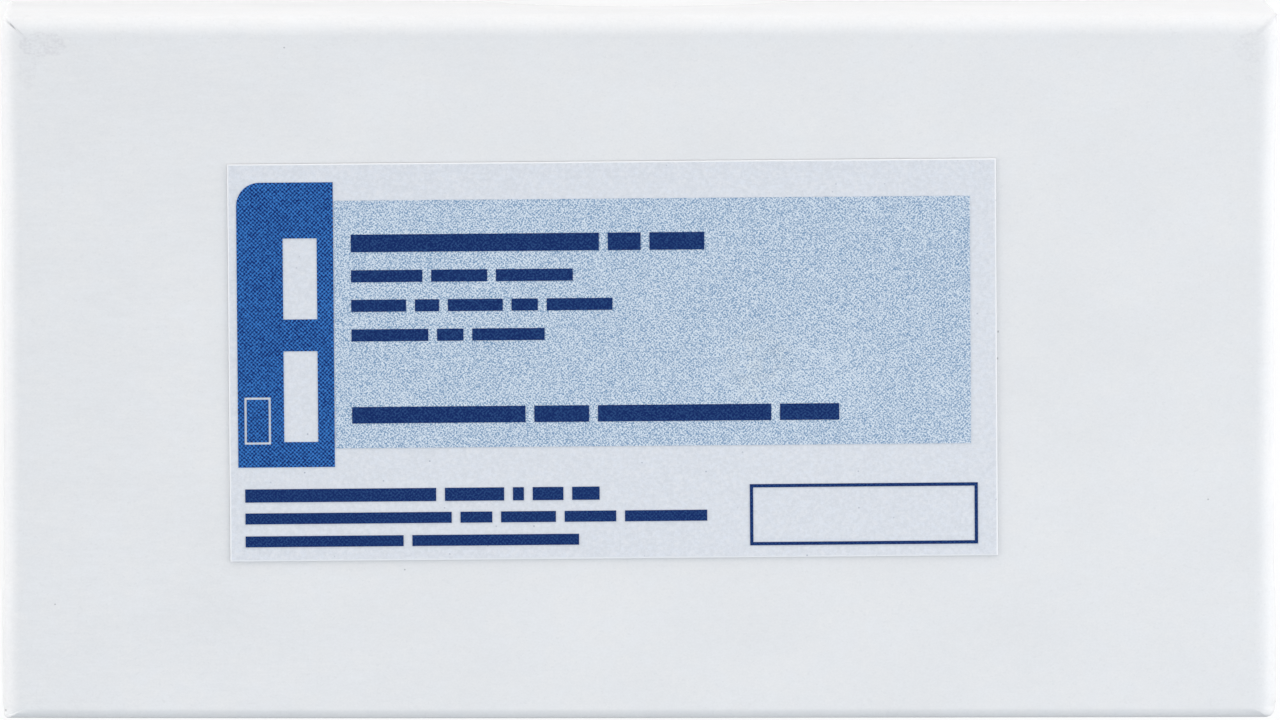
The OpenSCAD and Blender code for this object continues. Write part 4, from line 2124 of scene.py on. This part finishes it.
@dataclass
class Studio:
    """Pale floor, soft light and the camera above the box.

    Attributes:
        distance: from the camera to the panel, in millimetres.
        tilt: how far the camera stands towards +Y, in degrees.
        turn: how far it stands towards -X, in degrees.
        centre: the point of the panel at the middle of the view.
        view: width of the view at the panel, in millimetres.
        sensor: width of the camera's sensor in millimetres.
        sky, world_light: colour and strength of the light from all around.
        floor_light, floor_dark: the floor's colour, and its darker one before the box.
        floor_glow, floor_white: share and strength of its white where it is seen.
        floor_half, floor_z: half of its side, and its height, in metres.
        lamps: the soft lamps.
    """

    distance: float = 1600.0
    tilt: float = 4.45
    turn: float = 1.0
    centre: tuple[float, float, float] = (-0.03, 0.70, 25.04)
    view: float = 116.6393
    sensor: float = 36.0
    sky: Colour = (0.80, 0.872, 0.94)
    world_light: float = 0.39
    floor_light: Colour = (0.74, 0.745, 0.75)
    floor_dark: Colour = (0.05, 0.06, 0.075)
    floor_glow: float = 0.72
    floor_white: float = 1.1
    floor_half: float = 3.0
    floor_z: float = -2e-5
    lamps: tuple[SoftBox, ...] = (
        SoftBox("back_box", (0.0, 1.0, 0.28), (1.4, 0.42), 7.2),
        SoftBox("left_box", (-1.0, 0.0, 0.28), (1.3, 0.42), 8.0),
        SoftBox("right_box", (0.8, 0.0, 0.26), (1.0, 0.36), 4.8),
        SoftBox("front_box", (0.14, -0.33, 0.66), (0.85, 0.3), 1.88, (0.845, 0.918, 1.0)),
    )

    def world(self) -> None:
        """Lights the scene evenly, and shows white behind it."""
        world = bpy.data.worlds.new("soft_world")
        world.use_nodes = True
        bpy.context.scene.world = world
        graph = Graph(world.node_tree)
        seen = graph.rays("Is Camera Ray", "Is Transmission Ray", "Is Glossy Ray")
        light, white = (
            graph.node("ShaderNodeBackground", {}, {"Color": colour, "Strength": strength})
            for colour, strength in ((self.sky, self.world_light), (WHITE, 1.0))
        )
        graph.output("ShaderNodeOutputWorld", seen, light, white)

    def floor(self) -> None:
        """Lays a wide white floor that keeps the box's shadow."""
        material = bpy.data.materials.new("studio_floor")
        material.use_nodes = True
        graph = Graph(material.node_tree)
        seen = graph.rays("Is Camera Ray", "Is Transmission Ray")
        behind = graph.axes(graph.place())[1].rise(-70.0, -15.0)
        tone = graph.mix(seen.most(behind), self.floor_dark, self.floor_light)
        matt = graph.node("ShaderNodeBsdfDiffuse", {}, {"Color": tone})
        inputs = {"Color": WHITE, "Strength": self.floor_white}
        white = graph.node("ShaderNodeEmission", {}, inputs)
        graph.output("ShaderNodeOutputMaterial", seen * self.floor_glow, matt, white)
        mesh = bpy.data.meshes.new("studio_floor")
        signs = ((-1, -1), (1, -1), (1, 1), (-1, 1))
        corners = [(x * self.floor_half, y * self.floor_half, self.floor_z) for x, y in signs]
        mesh.from_pydata(corners, [], [(0, 1, 2, 3)])
        mesh.materials.append(material)
        floor = linked("studio_floor", mesh)

    def camera(self) -> None:
        """Sets the long-lens camera above the box, with +Y up in the view."""
        data = bpy.data.cameras.new("camera")
        data.sensor_width = self.sensor
        data.lens = self.sensor * self.distance / self.view
        data.clip_start, data.clip_end = 0.05, 20.0
        eye = linked("camera", data)
        back = Vector((-math.tan(math.radians(self.turn)), math.tan(math.radians(self.tilt)), 1.0))
        back.normalize()
        up = (Vector((0, 1, 0)) - back * back.y).normalized()
        right = up.cross(back)
        turned = Matrix((right, up, back)).transposed().to_4x4()
        place = (Vector(self.centre) + back * self.distance) * MM
        eye.matrix_world = Matrix.Translation(place) @ turned
        bpy.context.scene.camera = eye

    def build(self) -> None:
        """Makes the whole studio."""
        bpy.context.scene.view_settings.view_transform = "Standard"
        self.world()
        self.floor()
        self.camera()
        for lamp in self.lamps:
            lamp.build()


def lid_tray(bow: Bow) -> Tray:
    """Makes the lid's tray, with its notches and its four corner folds.

    Args:
        bow: how its walls draw in.

    Returns:
        The tray.
    """
    return Tray(
        *LID_HALF, face_z=25.04, depth=24.04, way=Way.DOWN, bow=bow, notch=(14.5, 8.5, 16.617),
        corners=(CornerFold(0.02, 0.3, 0.0, 1.0), CornerFold(0.07, 0.30, 0.0, 0.25),
                 CornerFold(0.20, 0.13, 0.05, 0.8), CornerFold(0.08, 0.12, 0.02, 0.55)),
    )


def lid_paper() -> WrapPaper:
    """Makes the lid's wrap finish, with its scuffs, the painted shade along its mitres, and its
    nicks.

    Returns:
        The finish.
    """
    return WrapPaper(
        label=LabelSpot(),
        scuffs=(Scuff((-54.3, 29.55), (1.9, 1.0), 0.22), Scuff((55.6, 29.2), (1.4, 1.2), 0.11),
                Scuff((-55.7, 27.2), (0.7, 1.7), 0.10)),
        mitres=(MitreShade((-1, 1), (2.0, 1.8), 0.18, (0.95, 1.1), 0.50),
                MitreShade((-1, 1), (2.0, 1.8), 0.40, (0.7, 1.9), 0.14),
                MitreShade((1, 1), (2.1, 1.8), 0.62, (0.1, 1.9), 0.13),
                MitreShade((1, 1), (2.1, 1.8), 0.13, (0.0, 0.25), 0.40)),
        nicks=((-57.9, -31.35), (32.62, 3.25), (32.56, 0.80)),
    )


def main() -> None:
    """Builds the studio and every piece of the box."""
    logging.basicConfig(level=logging.INFO, format="%(name)s: %(message)s")
    Studio().build()
    bow = Bow()
    board = [Greyboard().material(), CutBoard().material()]
    stay = StayPaper().material()
    Shell("lid", lid_tray(bow), "lid").build(lid_paper().material(), board, stay)
    base = Tray(
        half_x=55.96, half_y=29.96, face_z=0.0, depth=23.47, way=Way.UP, bow=bow,
        fold_w=(2.0,) * 4, seed=2.0, unrest=0.6,
    )
    base_paper = WrapPaper("base_wrap_paper")
    Shell("base", base, "base").build(base_paper.material(), board, stay)
    Insert(bow).build(CellFoam().material())
    Cuvette().build(CapPlastic().material())
    Label().build(LabelStock().material())


if __name__ == "__main__":
    main()
